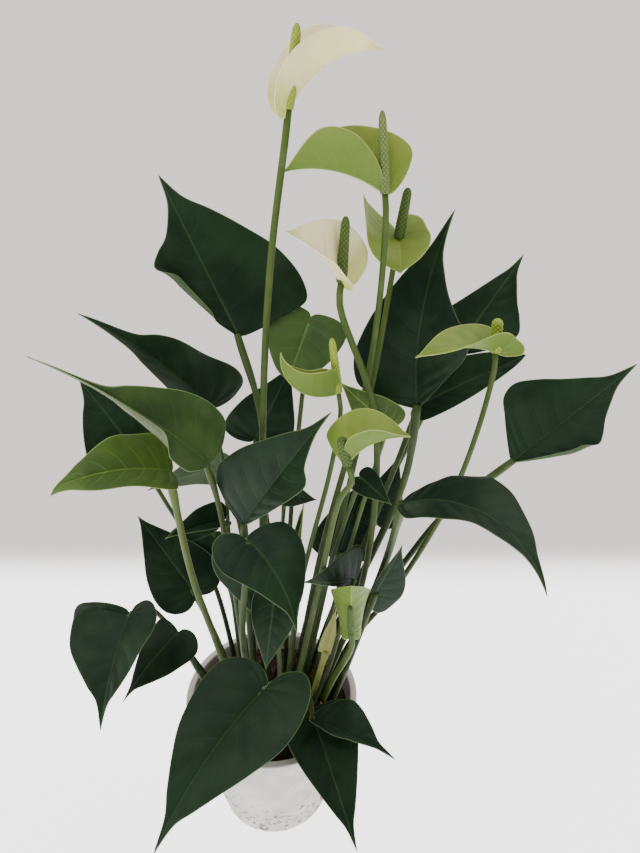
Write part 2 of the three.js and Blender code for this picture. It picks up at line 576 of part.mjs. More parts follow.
function soilSolid() {
  const bottom = potFloor + clearance;
  const edge = innerRadius(soilTop) - clearance * 1.1;
  const profile = [[0, bottom], [innerRadius(bottom) - clearance * 1.1, bottom], [edge, soilTop]];
  [45, 34, 23, 12, 0].forEach((r) => profile.push([r, soilTop + 0.01]));
  const geometry = latheAboutZ(profile, potSegments);
  const positions = geometry.attributes.position;
  for (let i = 0; i < positions.count; i += 1) {
    if (positions.getZ(i) > soilTop + 0.005) {
      positions.setZ(i, soilHeight(positions.getX(i), positions.getY(i)));
    }
  }
  const stalks = leaves.map((leaf) => [leafRoute(leaf), leaf.radii]);
  blooms.forEach((bloom) => stalks.push([bloomRoute(bloom), bloom.radii]));
  return stalks.reduce((soil, [route, radii]) => {
    const foot = vector(route[0]);
    const below = foot.clone().sub(vector(route[1])).setLength(clearance * 1.5).add(foot);
    const bores = radii.map((radius) => radius + clearance * 1.8);
    const bore = stalkGeometry([below.toArray(), ...route.slice(1)], bores, stalkSides, stalkSteps);
    return soil.subtract(solidFrom(bore));
  }, solidFrom(geometry));
}

function potSolid() {
  const lip = 1.4;
  return solidFrom(latheAboutZ([
    [0, 0],
    [potFootRadius - 2.5, 0],
    [potFootRadius, 2.5],
    [potRimRadius, potHeight - lip],
    [potRimRadius - lip, potHeight],
    [potRimRadius - potWall + lip, potHeight],
    [potRimRadius - potWall, potHeight - lip],
    [innerRadius(potFloor), potFloor],
    [0, potFloor],
  ], potSegments));
}

const plant = new THREE.Group();
plant.add(meshFrom(potSolid(), 'pot', potWhite));
plant.add(meshFrom(soilSolid(), 'soil', soilBrown));
leaves.forEach((leaf) => plant.add(meshFrom(leafSolid(leaf), leaf.name, leaf.look)));
blooms.forEach((bloom) => plant.add(...bloomMeshes(bloom)));

export default plant;
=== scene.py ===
# Potted flamingo flower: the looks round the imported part. Sizes are millimetres in the part's own frame,
# +Z up, with the origin under the middle of the pot.
import bpy
import math
import numpy as np
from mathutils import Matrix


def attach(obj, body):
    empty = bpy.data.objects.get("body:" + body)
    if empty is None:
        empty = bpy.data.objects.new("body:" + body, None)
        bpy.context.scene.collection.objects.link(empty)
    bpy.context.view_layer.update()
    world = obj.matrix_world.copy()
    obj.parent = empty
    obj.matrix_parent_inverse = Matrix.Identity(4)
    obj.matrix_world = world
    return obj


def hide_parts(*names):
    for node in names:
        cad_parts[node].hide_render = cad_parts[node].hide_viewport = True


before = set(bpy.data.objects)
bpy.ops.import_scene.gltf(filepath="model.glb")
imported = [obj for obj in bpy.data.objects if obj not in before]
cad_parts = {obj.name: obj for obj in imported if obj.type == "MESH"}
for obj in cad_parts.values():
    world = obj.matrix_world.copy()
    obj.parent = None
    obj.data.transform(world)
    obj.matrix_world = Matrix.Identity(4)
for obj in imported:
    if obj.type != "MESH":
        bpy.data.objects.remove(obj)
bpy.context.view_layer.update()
print("frame loaded with", len(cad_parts), "nodes")

mm = 0.001
random = np.random.default_rng(27)
smooth = dict(interpolation_type="SMOOTHSTEP")
times = dict(operation="MULTIPLY")
blend = dict(data_type="RGBA")


def linearColour(value):  # an sRGB hex colour turned to linear; a number stays as it is
    if not isinstance(value, str):
        return value
    parts = [int(value[i:i + 2], 16) / 255 for i in (1, 3, 5)]
    return tuple(p / 12.92 if p <= 0.04045 else ((p + 0.055) / 1.055) ** 2.4 for p in parts) + (1,)


def addNode(tree, kind, inputs=(), out=0, **settings):
    # inputs by name or number: a socket is linked, a number or a hex colour is set. Gives one output.
    node = tree.nodes.new("ShaderNode" + kind)
    for key, value in settings.items():
        setattr(node, key, value)
    for key, value in dict(inputs).items():
        if isinstance(value, bpy.types.NodeSocket):
            tree.links.new(value, node.inputs[key])
        else:
            node.inputs[key].default_value = linearColour(value)
    return node.outputs[out]


def newMaterial(name, settings):
    # gives the material, its nodes, its shader and the place on the piece that patterns follow
    material = bpy.data.materials.new(name)
    material.use_nodes = True
    tree = material.node_tree
    shader = tree.nodes["Principled BSDF"]
    for key, value in settings.items():
        shader.inputs[key].default_value = linearColour(value)
    return material, tree, shader, addNode(tree, "TexCoord", (), "Object")


def finishSurface(tree, shader, layers, height, strength, depthMm):
    # colours laid over the first one, each with its share, and a bump as deep as depthMm
    colour = layers[0]
    for share, over in layers[1:]:
        colour = addNode(tree, "Mix", {0: share, 6: colour, 7: over}, 2, **blend)
    tree.links.new(colour, shader.inputs["Base Color"])
    bump = addNode(tree, "Bump", {"Strength": strength, "Distance": depthMm * mm, "Height": height})
    tree.links.new(bump, shader.inputs["Normal"])


def unit(v):
    return v / np.maximum(np.linalg.norm(v, axis=-1, keepdims=True), 1e-12)


def smoothStep(low, high, x):
    x = np.clip((x - low) / (high - low), 0, 1)
    return x * x * (3 - 2 * x)


def curveThrough(points, count):
    # centripetal curve through the points, sampled at even steps of its length
    p = np.array(points, float)
    p = np.vstack([2 * p[0] - p[1], p, 2 * p[-1] - p[-2]])
    out = []
    for i in range(1, len(p) - 2):
        gaps = [max(np.linalg.norm(p[i + k] - p[i + k - 1]) ** 0.5, 1e-3) for k in (0, 1, 2)]
        first = ((p[i] - p[i - 1]) / gaps[0] - (p[i + 1] - p[i - 1]) / (gaps[0] + gaps[1])
                 + (p[i + 1] - p[i]) / gaps[1]) * gaps[1]
        second = ((p[i + 1] - p[i]) / gaps[1] - (p[i + 2] - p[i]) / (gaps[1] + gaps[2])
                  + (p[i + 2] - p[i + 1]) / gaps[2]) * gaps[1]
        t = np.linspace(0, 1, 40, endpoint=False)[:, None]
        out.append(p[i] + first * t + (3 * (p[i + 1] - p[i]) - 2 * first - second) * t ** 2
                   + (2 * (p[i] - p[i + 1]) + first + second) * t ** 3)
    fine = np.vstack(out + [p[-2]])
    length = np.r_[0, np.cumsum(np.linalg.norm(np.diff(fine, axis=0), axis=1))]
    even = np.linspace(0, length[-1], count)
    return np.stack([np.interp(even, length, fine[:, k]) for k in range(p.shape[1])], 1), length[-1]


def addObject(name, data):
    thing = bpy.data.objects.new(name, data)
    bpy.context.scene.collection.objects.link(thing)
    return thing


def addFace(faces, corners, flip=False):
    # corners that fall together count once, and a face without an area is left out
    face = [v for k, v in enumerate(corners) if v not in corners[:k]]
    if len(face) > 2:
        faces.append(face[::-1] if flip else face)


def newPiece(name, materials, points, faces, attributes=None, slotOf=None):
    # a smooth-shaded mesh object from millimetre points, with float attributes for its materials
    mesh = bpy.data.meshes.new(name)
    mesh.from_pydata((np.asarray(points) * mm).tolist(), [], [list(map(int, f)) for f in faces])
    for key, values in (attributes or {}).items():
        layer = mesh.attributes.new(key, "FLOAT", "POINT")
        layer.data.foreach_set("value", np.asarray(values, np.float32))
    for material in materials:
        mesh.materials.append(material)
    mesh.polygons.foreach_set("use_smooth", [True] * len(mesh.polygons))
    if slotOf is not None:
        mesh.polygons.foreach_set("material_index", np.asarray(slotOf, np.int32))
    mesh.update()
    piece = addObject(name, mesh)
    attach(piece, "root")
    return piece


def finePiece(node, slot, *mesh):
    # the finer form that stands for a node of the part
    piece = newPiece(node + "_fine", *mesh)
    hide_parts(node)


# camera and light

view = dict(place=(36.7, -370.5, 535.8), down=28, lens=29.12, sensor=36, near=0.01)
camera = addObject("camera", bpy.data.cameras.new("camera"))
camera.location = [v * mm for v in view["place"]]
camera.rotation_euler = (math.radians(90 - view["down"]), 0, 0)
camera.data.lens = view["lens"]
camera.data.sensor_width = view["sensor"]
camera.data.clip_start = view["near"]
bpy.context.scene.camera = camera

studio = dict(sky="#cfc9c4", skyStrength=2.0, behind=0.3, floor="#f6f4f5", floorGlow=2.5, floorBack=265,
              floorReach=3000, floorDrop=0.5, fade=60,
              softboxes=[dict(place=(-0.9, -0.6, 1.7), size=1.8, power=30),
                         dict(place=(0.9, 0.3, 1.4), size=1.4, power=10)])
world = bpy.data.worlds.new("studio")
bpy.context.scene.world = world
world.use_nodes = True
tree = world.node_tree
backdrop = tree.nodes["Background"]
backdrop.inputs["Color"].default_value = linearColour(studio["sky"])
# the pale wall is lit, and the room on the other side of the plant is dimmer, but it is seen as pale too
direction = addNode(tree, "SeparateXYZ", {0: addNode(tree, "TexCoord", (), "Generated")}, "Y")
lit = addNode(tree, "MapRange", {0: direction, 1: -0.7, 2: 0.6, 3: studio["behind"], 4: 1.0}, **smooth)
lit = addNode(tree, "Math", {0: lit, 1: addNode(tree, "LightPath", (), "Is Camera Ray")}, operation="MAXIMUM")
glow = addNode(tree, "Math", {0: lit, 1: studio["skyStrength"]}, **times)
tree.links.new(glow, backdrop.inputs["Strength"])
for i, box in enumerate(studio["softboxes"], 1):
    lamp = addObject("softbox%d" % i, bpy.data.lights.new("softbox%d" % i, "AREA"))
    lamp.data.size = box["size"]
    lamp.data.energy = box["power"]
    lamp.location = box["place"]
    lamp.rotation_euler = (-lamp.location).to_track_quat("-Z", "Y").to_euler()

# white paper floor, matt, which fades into the pale wall behind
floorMaterial, tree, shader, place = newMaterial("matt white paper", {
    "Base Color": studio["floor"], "Roughness": 0.9,
    "Emission Color": studio["floor"], "Emission Strength": studio["floorGlow"]})
depth = addNode(tree, "SeparateXYZ", {0: place}, "Y")
fade = addNode(tree, "MapRange", {0: depth, 1: (studio["floorBack"] - studio["fade"] / 2) * mm,
                                  2: (studio["floorBack"] + studio["fade"]) * mm, 3: 1.0, 4: 0.0}, **smooth)
tree.links.new(fade, shader.inputs["Alpha"])
floorMesh = bpy.data.meshes.new("floor")
side, back = studio["floorReach"], studio["floorBack"] + studio["fade"]
floorMesh.from_pydata([(x * mm, y * mm, -studio["floorDrop"] * mm) for x, y in
                       ((-side, -side), (side, -side), (side, back), (-side, back))], [], [(0, 1, 2, 3)])
floorMesh.materials.append(floorMaterial)
floor = addObject("floor", floorMesh)
print("camera, light and floor ready")

# surfaces that the leaves and the spathes share

leafOutline = [(-0.6, 0.06), (-1, 0.38), (-0.8, 0.7), (-0.15, 0.94), (0.14, 1), (0.38, 0.84),
               (0.6, 0.53), (0.78, 0.26), (0.91, 0.08), (1, 0)]
spatheOutline = [(-0.6, 0.08), (-1, 0.42), (-0.75, 0.74), (-0.1, 0.94), (0.16, 1), (0.4, 0.92),
                 (0.62, 0.69), (0.8, 0.37), (0.92, 0.12), (1, 0)]
widest = 0.14  # beyond this place full and kite shape the flank of a half
veinSweep = 0.07  # how far the side veins run ahead towards the tip
rollEase = 0.12  # share of the outline over which a rolled margin starts and stops


def midribOf(blade):
    # the midrib bends, curls and sweeps from base to tip; gives its place, side and up direction at s
    base, tip = np.array(blade["base"], float), np.array(blade["tip"], float)
    chord = tip - base
    along = unit(chord)
    up = np.array(blade["face"], float)
    up = unit(up - along * up.dot(along))
    side = np.cross(along, up)
    steps = 60
    s = np.linspace(0, 1, steps + 1)
    pitch = -blade.get("bend", 0) * (s - 0.5) - blade.get("curl", 0) * np.maximum(0, (s - 0.7) / 0.3) ** 2
    yaw = blade.get("sweep", 0) * (s - 0.5)
    tangents = (np.outer(np.cos(pitch) * np.cos(yaw), along) + np.outer(np.cos(pitch) * np.sin(yaw), side)
                + np.outer(np.sin(pitch), up))
    sides = np.outer(-np.sin(yaw), along) + np.outer(np.cos(yaw), side)
    points = np.vstack([[0, 0, 0], np.cumsum((tangents[1:] + tangents[:-1]) / 2 / steps, axis=0)])
    end = unit(points[-1])
    axis = np.cross(end, along)
    cosine = end.dot(along)
    cross = np.array([[0, -axis[2], axis[1]], [axis[2], 0, -axis[0]], [-axis[1], axis[0], 0]])
    turn = np.eye(3) + cross + cross @ cross / (1 + cosine)
    length = np.linalg.norm(chord) / np.linalg.norm(points[-1])
    points = points * length @ turn.T + base
    tangents, sides = tangents @ turn.T, sides @ turn.T

    def at(where):
        where = np.asarray(where, float)
        inside = np.clip(where, 0, 1)
        mix = lambda table: np.stack([np.interp(inside, s, table[:, k]) for k in range(3)], -1)
        tangent, sideways = unit(mix(tangents)), unit(mix(sides))
        point = mix(points) + tangent * (np.minimum(where, 0) * length)[..., None]
        return point, sideways, np.cross(sideways, tangent)
    return at, length


def halfValue(blade, key, own):
    value = blade.get(key, 0)
    return value[own] if isinstance(value, list) else value


def bladeSheet(blade, outline, form):
    # one smooth sheet: rows run round the outline of each half, columns from the midrib to the margin
    at, length = midribOf(blade)
    rows, columns = form["rows"], form["columns"]
    # the columns lie closer at the midrib and at the margin
    shares = (np.arange(columns + 1) / columns) ** 1.5
    shares = 1 - (1 - shares) ** 1.25
    points, faces, known = [], [], {}
    fields = {key: [] for key in ("fromRib", "fromEdge", "veinPhase", "veinGap", "share", "along")}

    def keep(point, values):
        points.append(point)
        for key, value in zip(fields, values):
            fields[key].append(value)
        return len(points) - 1

    for half in (-1, 1):
        own = 0 if half < 0 else 1
        width, lobe, fold, cup, swept, kite, full = (halfValue(blade, key, own) for key in (
            "width", "lobe", "fold", "cup", "swept", "kite", "full"))
        control = [(0.0, 0.0)]
        for place, u in outline:
            a = place * (lobe if place < 0 else 1 - blade.get("drip", 0) * (place < 1))
            a += swept * u * (1 - max(a, 0))
            if place > widest:
                rounder = u ** (1 / (1 + full))
                u = rounder + ((1 - place) / (1 - widest) - rounder) * kite
            control.append((a * length, u * width))
        edge, _ = curveThrough(control, rows + 1)
        reach, out = edge[:, 0] / length, np.maximum(edge[:, 1] / width, 0)
        out[-1] = 0
        reach[0] = 0
        turn = np.linspace(0, 1, rows + 1)
        # each row leaves the midrib a little further back, as the side veins do
        root = np.maximum.accumulate(np.where(reach > 0, np.abs(reach) ** 1.35, 0))
        s = root[:, None] + (reach - root)[:, None] * shares
        u = out[:, None] * shares
        fade = np.maximum(0, 1 - blade.get("ease", 0) * np.maximum(s, 0))
        slope = (fold + cup * u) * fade
        start, stop, angle, begin = form.get("roll", {}).get(half, (0, 1, 0, 0.6))
        if angle:  # the margin rolls up or under between two places along the outline
            window = smoothStep(start, start + rollEase, turn) * (1 - smoothStep(stop - rollEase, stop, turn))
            slope = slope + angle * window[:, None] * smoothStep(begin, 1, shares) ** 1.5
        step = np.diff(u, axis=1) * width
        middle = (slope[:, 1:] + slope[:, :-1]) / 2
        across, rise = np.zeros_like(u), np.zeros_like(u)
        across[:, 1:] = np.cumsum(np.cos(middle) * step, axis=1)
        rise[:, 1:] = np.cumsum(np.sin(middle) * step, axis=1)
        rise = rise + blade.get("wave", 0) * u * u * np.sin(12 * s + 2 * half)
        rise = rise + form["flutter"] * shares ** 3 * out[:, None] * np.sin(
            form["flutters"] * turn[:, None] + form["phase"] * half)
        phase = (turn[:, None] - veinSweep * shares ** 2) * form["veins"]
        puff = np.sin(math.pi * phase) ** 2
        rise = rise + form["puff"] * puff * 4 * shares * (1 - shares) * np.minimum(out[:, None] * 3, 1)
        centre, sideways, upward = at(s)
        grid = centre + sideways * (half * across)[..., None] + upward * rise[..., None]
        gap = np.linalg.norm(np.gradient(grid, axis=0), axis=-1) * rows / form["veins"]
        margin = out[:, None] * (1 - shares) * width
        index = np.zeros((rows + 1, columns + 1), int)
        for i in range(rows + 1):
            for j in range(columns + 1):
                if j == 0 or i == rows:
                    key = round(float(root[i]), 6) if i < rows else 1.0
                    if key not in known:
                        spot = at(np.array(key))[0]
                        known[key] = keep(spot, (0, margin[i, j], phase[i, j], gap[i, j], 0, key))
                    index[i, j] = known[key]
                else:
                    index[i, j] = keep(grid[i, j], (u[i, j] * width, margin[i, j], phase[i, j], gap[i, j],
                                                    shares[j], s[i, j]))
        for i in range(rows):
            for j in range(columns):
                addFace(faces, [index[i, j], index[i, j + 1], index[i + 1, j + 1], index[i + 1, j]], half < 0)
    return np.array(points), faces, {key: np.array(values, float) for key, values in fields.items()}


def closedBlade(blade, outline, form):
    # the sheet gets an upper and an under side, thinner towards its margin, with the midrib as a groove
    # above and a rib below
    points, faces, fields = bladeSheet(blade, outline, form)
    triangles = np.array([[f[0], f[k], f[k + 1]] for f in faces for k in range(1, len(f) - 1)])
    corner = points[triangles]
    normals = np.zeros_like(points)
    across = np.cross(corner[:, 1] - corner[:, 0], corner[:, 2] - corner[:, 0])
    for k in range(3):
        np.add.at(normals, triangles[:, k], across)
    normals = unit(normals)
    half = form["thickness"] / 2 * (1 - 0.6 * fields["share"] ** 4)
    taper = np.clip(1.1 - fields["along"], 0.1, 1)
    away, rib = fields["fromRib"], form["rib"]
    groove = rib * 0.45 * taper * np.exp(-(away / (rib * 1.3)) ** 2)
    ridge = rib * taper * np.exp(-(away / (rib * 1.5)) ** 2)
    upper = points + normals * (half - groove)[:, None]
    under = points - normals * (half + ridge)[:, None]
    count = len(points)
    used = {}
    for face in faces:
        for a, b in zip(face, face[1:] + face[:1]):
            used[(a, b)] = used.get((a, b), 0) + 1
    rim = [(a, b) for a, b in used if (b, a) not in used]
    allFaces = [list(f) for f in faces] + [[v + count for v in f[::-1]] for f in faces]
    allFaces += [[b, a, a + count, b + count] for a, b in rim]
    values = {key: np.r_[v, v] for key, v in fields.items()}
    values["under"] = np.r_[np.zeros(count), np.ones(count)]
    return np.vstack([upper, under]), allFaces, values


def tubeAlong(route, radii, sides, steps, shape=None):
    # a round closed stalk along a smooth route; shape(t, turn) swells it
    centre, _ = curveThrough(route, steps + 1)
    tangents = unit(np.gradient(centre, axis=0))
    across = unit(np.cross(tangents[0], [0.3, 1, 0.2]))
    first = []
    for tangent in tangents:
        across = unit(across - tangent * across.dot(tangent))
        first.append(across)
    first = np.array(first)
    second = np.cross(tangents, first)
    t = np.linspace(0, 1, steps + 1)[:, None]
    turn = np.linspace(0, 2 * math.pi, sides, endpoint=False)[None, :]
    radius = radii[0] + (radii[1] - radii[0]) * t + 0 * turn
    if shape:
        radius = radius * shape(t, turn)
    rings = centre[:, None] + radius[..., None] * (np.cos(turn)[..., None] * first[:, None]
                                                  + np.sin(turn)[..., None] * second[:, None])
    points = np.vstack([rings.reshape(-1, 3), centre[:1], centre[-1:]])
    faces = []
    for i in range(steps):
        for j in range(sides):
            k = (j + 1) % sides
            faces.append([i * sides + j, i * sides + k, (i + 1) * sides + k, (i + 1) * sides + j])
    last = (steps + 1) * sides
    for j in range(sides):
        k = (j + 1) % sides
        faces.append([k, j, last])
        faces.append([steps * sides + j, steps * sides + k, last + 1])
    return points, faces, {"along": np.r_[(t + 0 * turn).ravel(), 0, 1],
                           "turn": np.r_[(turn + 0 * t).ravel(), 0, 0]}


def joined(parts):
    # several meshes as one, with the attributes that each has
    points, faces, slots, start = [], [], [], 0
    keys = sorted(set(key for part in parts for key in part[2]))
    values = {key: [] for key in keys}
    for slot, (p, f, fields) in enumerate(parts):
        points.append(p)
        faces += [[v + start for v in face] for face in f]
        slots += [slot] * len(f)
        for key in keys:
            values[key].append(fields.get(key, np.zeros(len(p))))
        start += len(p)
    return np.vstack(points), faces, {key: np.concatenate(v) for key, v in values.items()}, slots


# materials of the plant

def bladeLines(tree, finish, widthMm):
    # side veins leave the midrib and sweep towards the tip; then the midrib and the margin
    at = {key: addNode(tree, "Attribute", (), "Fac", attribute_name=key) for key in
          ("fromRib", "fromEdge", "veinPhase", "veinGap", "share", "along", "under", "tone")}
    phase = addNode(tree, "Math", {0: at["veinPhase"], 1: 0.5}, operation="PINGPONG")
    away = addNode(tree, "Math", {0: phase, 1: at["veinGap"]}, **times)
    line = addNode(tree, "MapRange", {0: away, 1: widthMm * 0.25, 2: widthMm, 3: 1.0, 4: 0.0}, **smooth)
    inner = addNode(tree, "MapRange", {0: at["share"], 1: 0.45, 2: 0.97, 3: 1.0, 4: 0.0}, **smooth)
    at["vein"] = addNode(tree, "Math", {0: line, 1: inner}, **times)
    thin = addNode(tree, "MapRange", {0: at["along"], 1: 0.0, 2: 1.0, 3: 1.5, 4: 0.5})
    rib = addNode(tree, "Math", {0: at["fromRib"], 1: thin}, operation="DIVIDE")
    rib = addNode(tree, "MapRange", {0: rib, 1: 0.25, 2: 0.75, 3: 1.0, 4: 0.0}, **smooth)
    off = addNode(tree, "Math", {0: at["along"], 1: 0.97}, operation="LESS_THAN")
    rib = addNode(tree, "Math", {0: rib, 1: off}, **times)
    edge = addNode(tree, "MapRange", {0: at["fromEdge"], 1: 0.15, 2: 0.55, 3: 1.0, 4: 0.0}, **smooth)
    lines = [(addNode(tree, "Math", {0: mask, 1: finish[share]}, **times), finish[colour])
             for mask, share, colour in ((at["vein"], "veinShare", "vein"), (rib, "ribShare", "vein"),
                                         (edge, "marginShare", "margin"))]
    return at, lines


def leafMaterial(name, finish):
    # living leaf with a waxy cuticle: satin gloss above, duller and paler below, light veins and margin
    material, tree, shader, place = newMaterial(name, {"IOR": 1.42, "Specular IOR Level": finish["gloss"]})
    at, lines = bladeLines(tree, finish, 0.9)
    patches = addNode(tree, "TexNoise", {"Vector": place, "Scale": 1 / (28 * mm), "Detail": 4.0})
    patches = addNode(tree, "MapRange", {0: patches, 1: 0.35, 2: 0.68}, **smooth)
    lighter = addNode(tree, "Math", {0: patches, 1: at["tone"]}, operation="ADD", use_clamp=True)
    # cells between the finest veins, about 3 mm across
    cells = addNode(tree, "TexNoise", {"Vector": place, "Scale": 1 / (3 * mm), "Detail": 2.0})
    above = addNode(tree, "Mix", {0: lighter, 6: finish["upper"], 7: finish["upperLight"]}, 2, **blend)
    below = addNode(tree, "Mix", {0: patches, 6: finish["under"], 7: finish["underLight"]}, 2, **blend)
    height = addNode(tree, "Math", {0: cells, 1: addNode(tree, "Math", {0: at["vein"], 1: 0.6}, **times)},
                     operation="SUBTRACT")
    finishSurface(tree, shader, [above, (at["under"], below)] + lines, height, 0.3, 0.6)
    dull = addNode(tree, "MapRange", {0: at["under"], 1: 0.0, 2: 1.0, 3: finish["roughness"],
                                      4: finish["roughness"] + 0.15})
    uneven = addNode(tree, "TexNoise", {"Vector": place, "Scale": 1 / (9 * mm), "Detail": 3.0})
    uneven = addNode(tree, "MapRange", {0: uneven, 1: 0.2, 2: 0.8, 3: -0.05, 4: 0.08})
    tree.links.new(addNode(tree, "Math", {0: dull, 1: uneven}, operation="ADD"), shader.inputs["Roughness"])
    return material


def stalkMaterial(name, low, high, scar="#75774a", foot="#4a3d28"):
    # smooth waxy stalk skin: brown at its foot, dark green low down and lighter towards the blade; this
    # darkening towards the foot is painted shade of the crown
    material, tree, shader, place = newMaterial(name, {
        "Roughness": 0.48, "IOR": 1.42, "Specular IOR Level": 0.22})
    along = addNode(tree, "Attribute", (), "Fac", attribute_name="along")
    streaks = addNode(tree, "TexNoise", {"Vector": place, "Scale": 1 / (14 * mm), "Detail": 4.0})
    streaks = addNode(tree, "MapRange", {0: streaks, 1: 0.45, 2: 0.8, 3: 0.0, 4: 0.22}, **smooth)
    # brown over the foot of the stalk: painted shade where the crown is crowded
    footShade = addNode(tree, "MapRange", {0: along, 1: 0.0, 2: 0.14, 3: 0.8, 4: 0.0}, **smooth)
    skin = addNode(tree, "TexNoise", {"Vector": place, "Scale": 1 / (2.5 * mm), "Detail": 2.0})
    # dark low colour climbing to the lighter one: the darker low part is painted shade of the crown
    climb = addNode(tree, "Mix", {0: along, 6: low, 7: high}, 2, **blend)
    finishSurface(tree, shader, [climb, (streaks, scar), (footShade, foot)], skin, 0.2, 0.5)
    return material


# stalk: the low and the high colour of a leaf stalk; the dark low colour is painted shade of the crown
leafFinish = {
    "leaf_dark": dict(
        words="dark green", upper="#0f2013", upperLight="#1b2e1c", under="#36452f", underLight="#43523a",
        vein="#3f5a38", margin="#66804e", gloss=0.13, roughness=0.42, veinShare=0.03, ribShare=0.35,
        marginShare=0.5, stalk=("#182211", "#34471f")),
    "leaf_mid": dict(
        words="mid green", upper="#2b4020", upperLight="#3d542a", under="#667257", underLight="#747f64",
        vein="#5f8048", margin="#86a06a", gloss=0.17, roughness=0.44, veinShare=0.08, ribShare=0.5,
        marginShare=0.6, stalk=("#222f16", "#3d4f22")),
    "leaf_young": dict(
        words="young green", upper="#344a1a", upperLight="#486026", under="#527532", underLight="#64863e",
        vein="#7e9d4a", margin="#a3bb68", gloss=0.2, roughness=0.45, veinShare=0.15, ribShare=0.5,
        marginShare=0.5, stalk=("#2e3a1a", "#556731")),
    "sheath": dict(
        words="pale sheath", upper="#8d9458", upperLight="#a3a766", under="#9da066", underLight="#a9aa72",
        vein="#b9b98a", margin="#b5ac7c", gloss=0.2, roughness=0.6, veinShare=0.2, ribShare=0.2,
        marginShare=0.5, stalk=("#6d7a3c", "#8b9450")),
}
leafSkins = {look: [leafMaterial(finish["words"] + " leaf wax", finish),
                    stalkMaterial(finish["words"] + " stalk skin", *finish["stalk"])]
             for look, finish in leafFinish.items()}


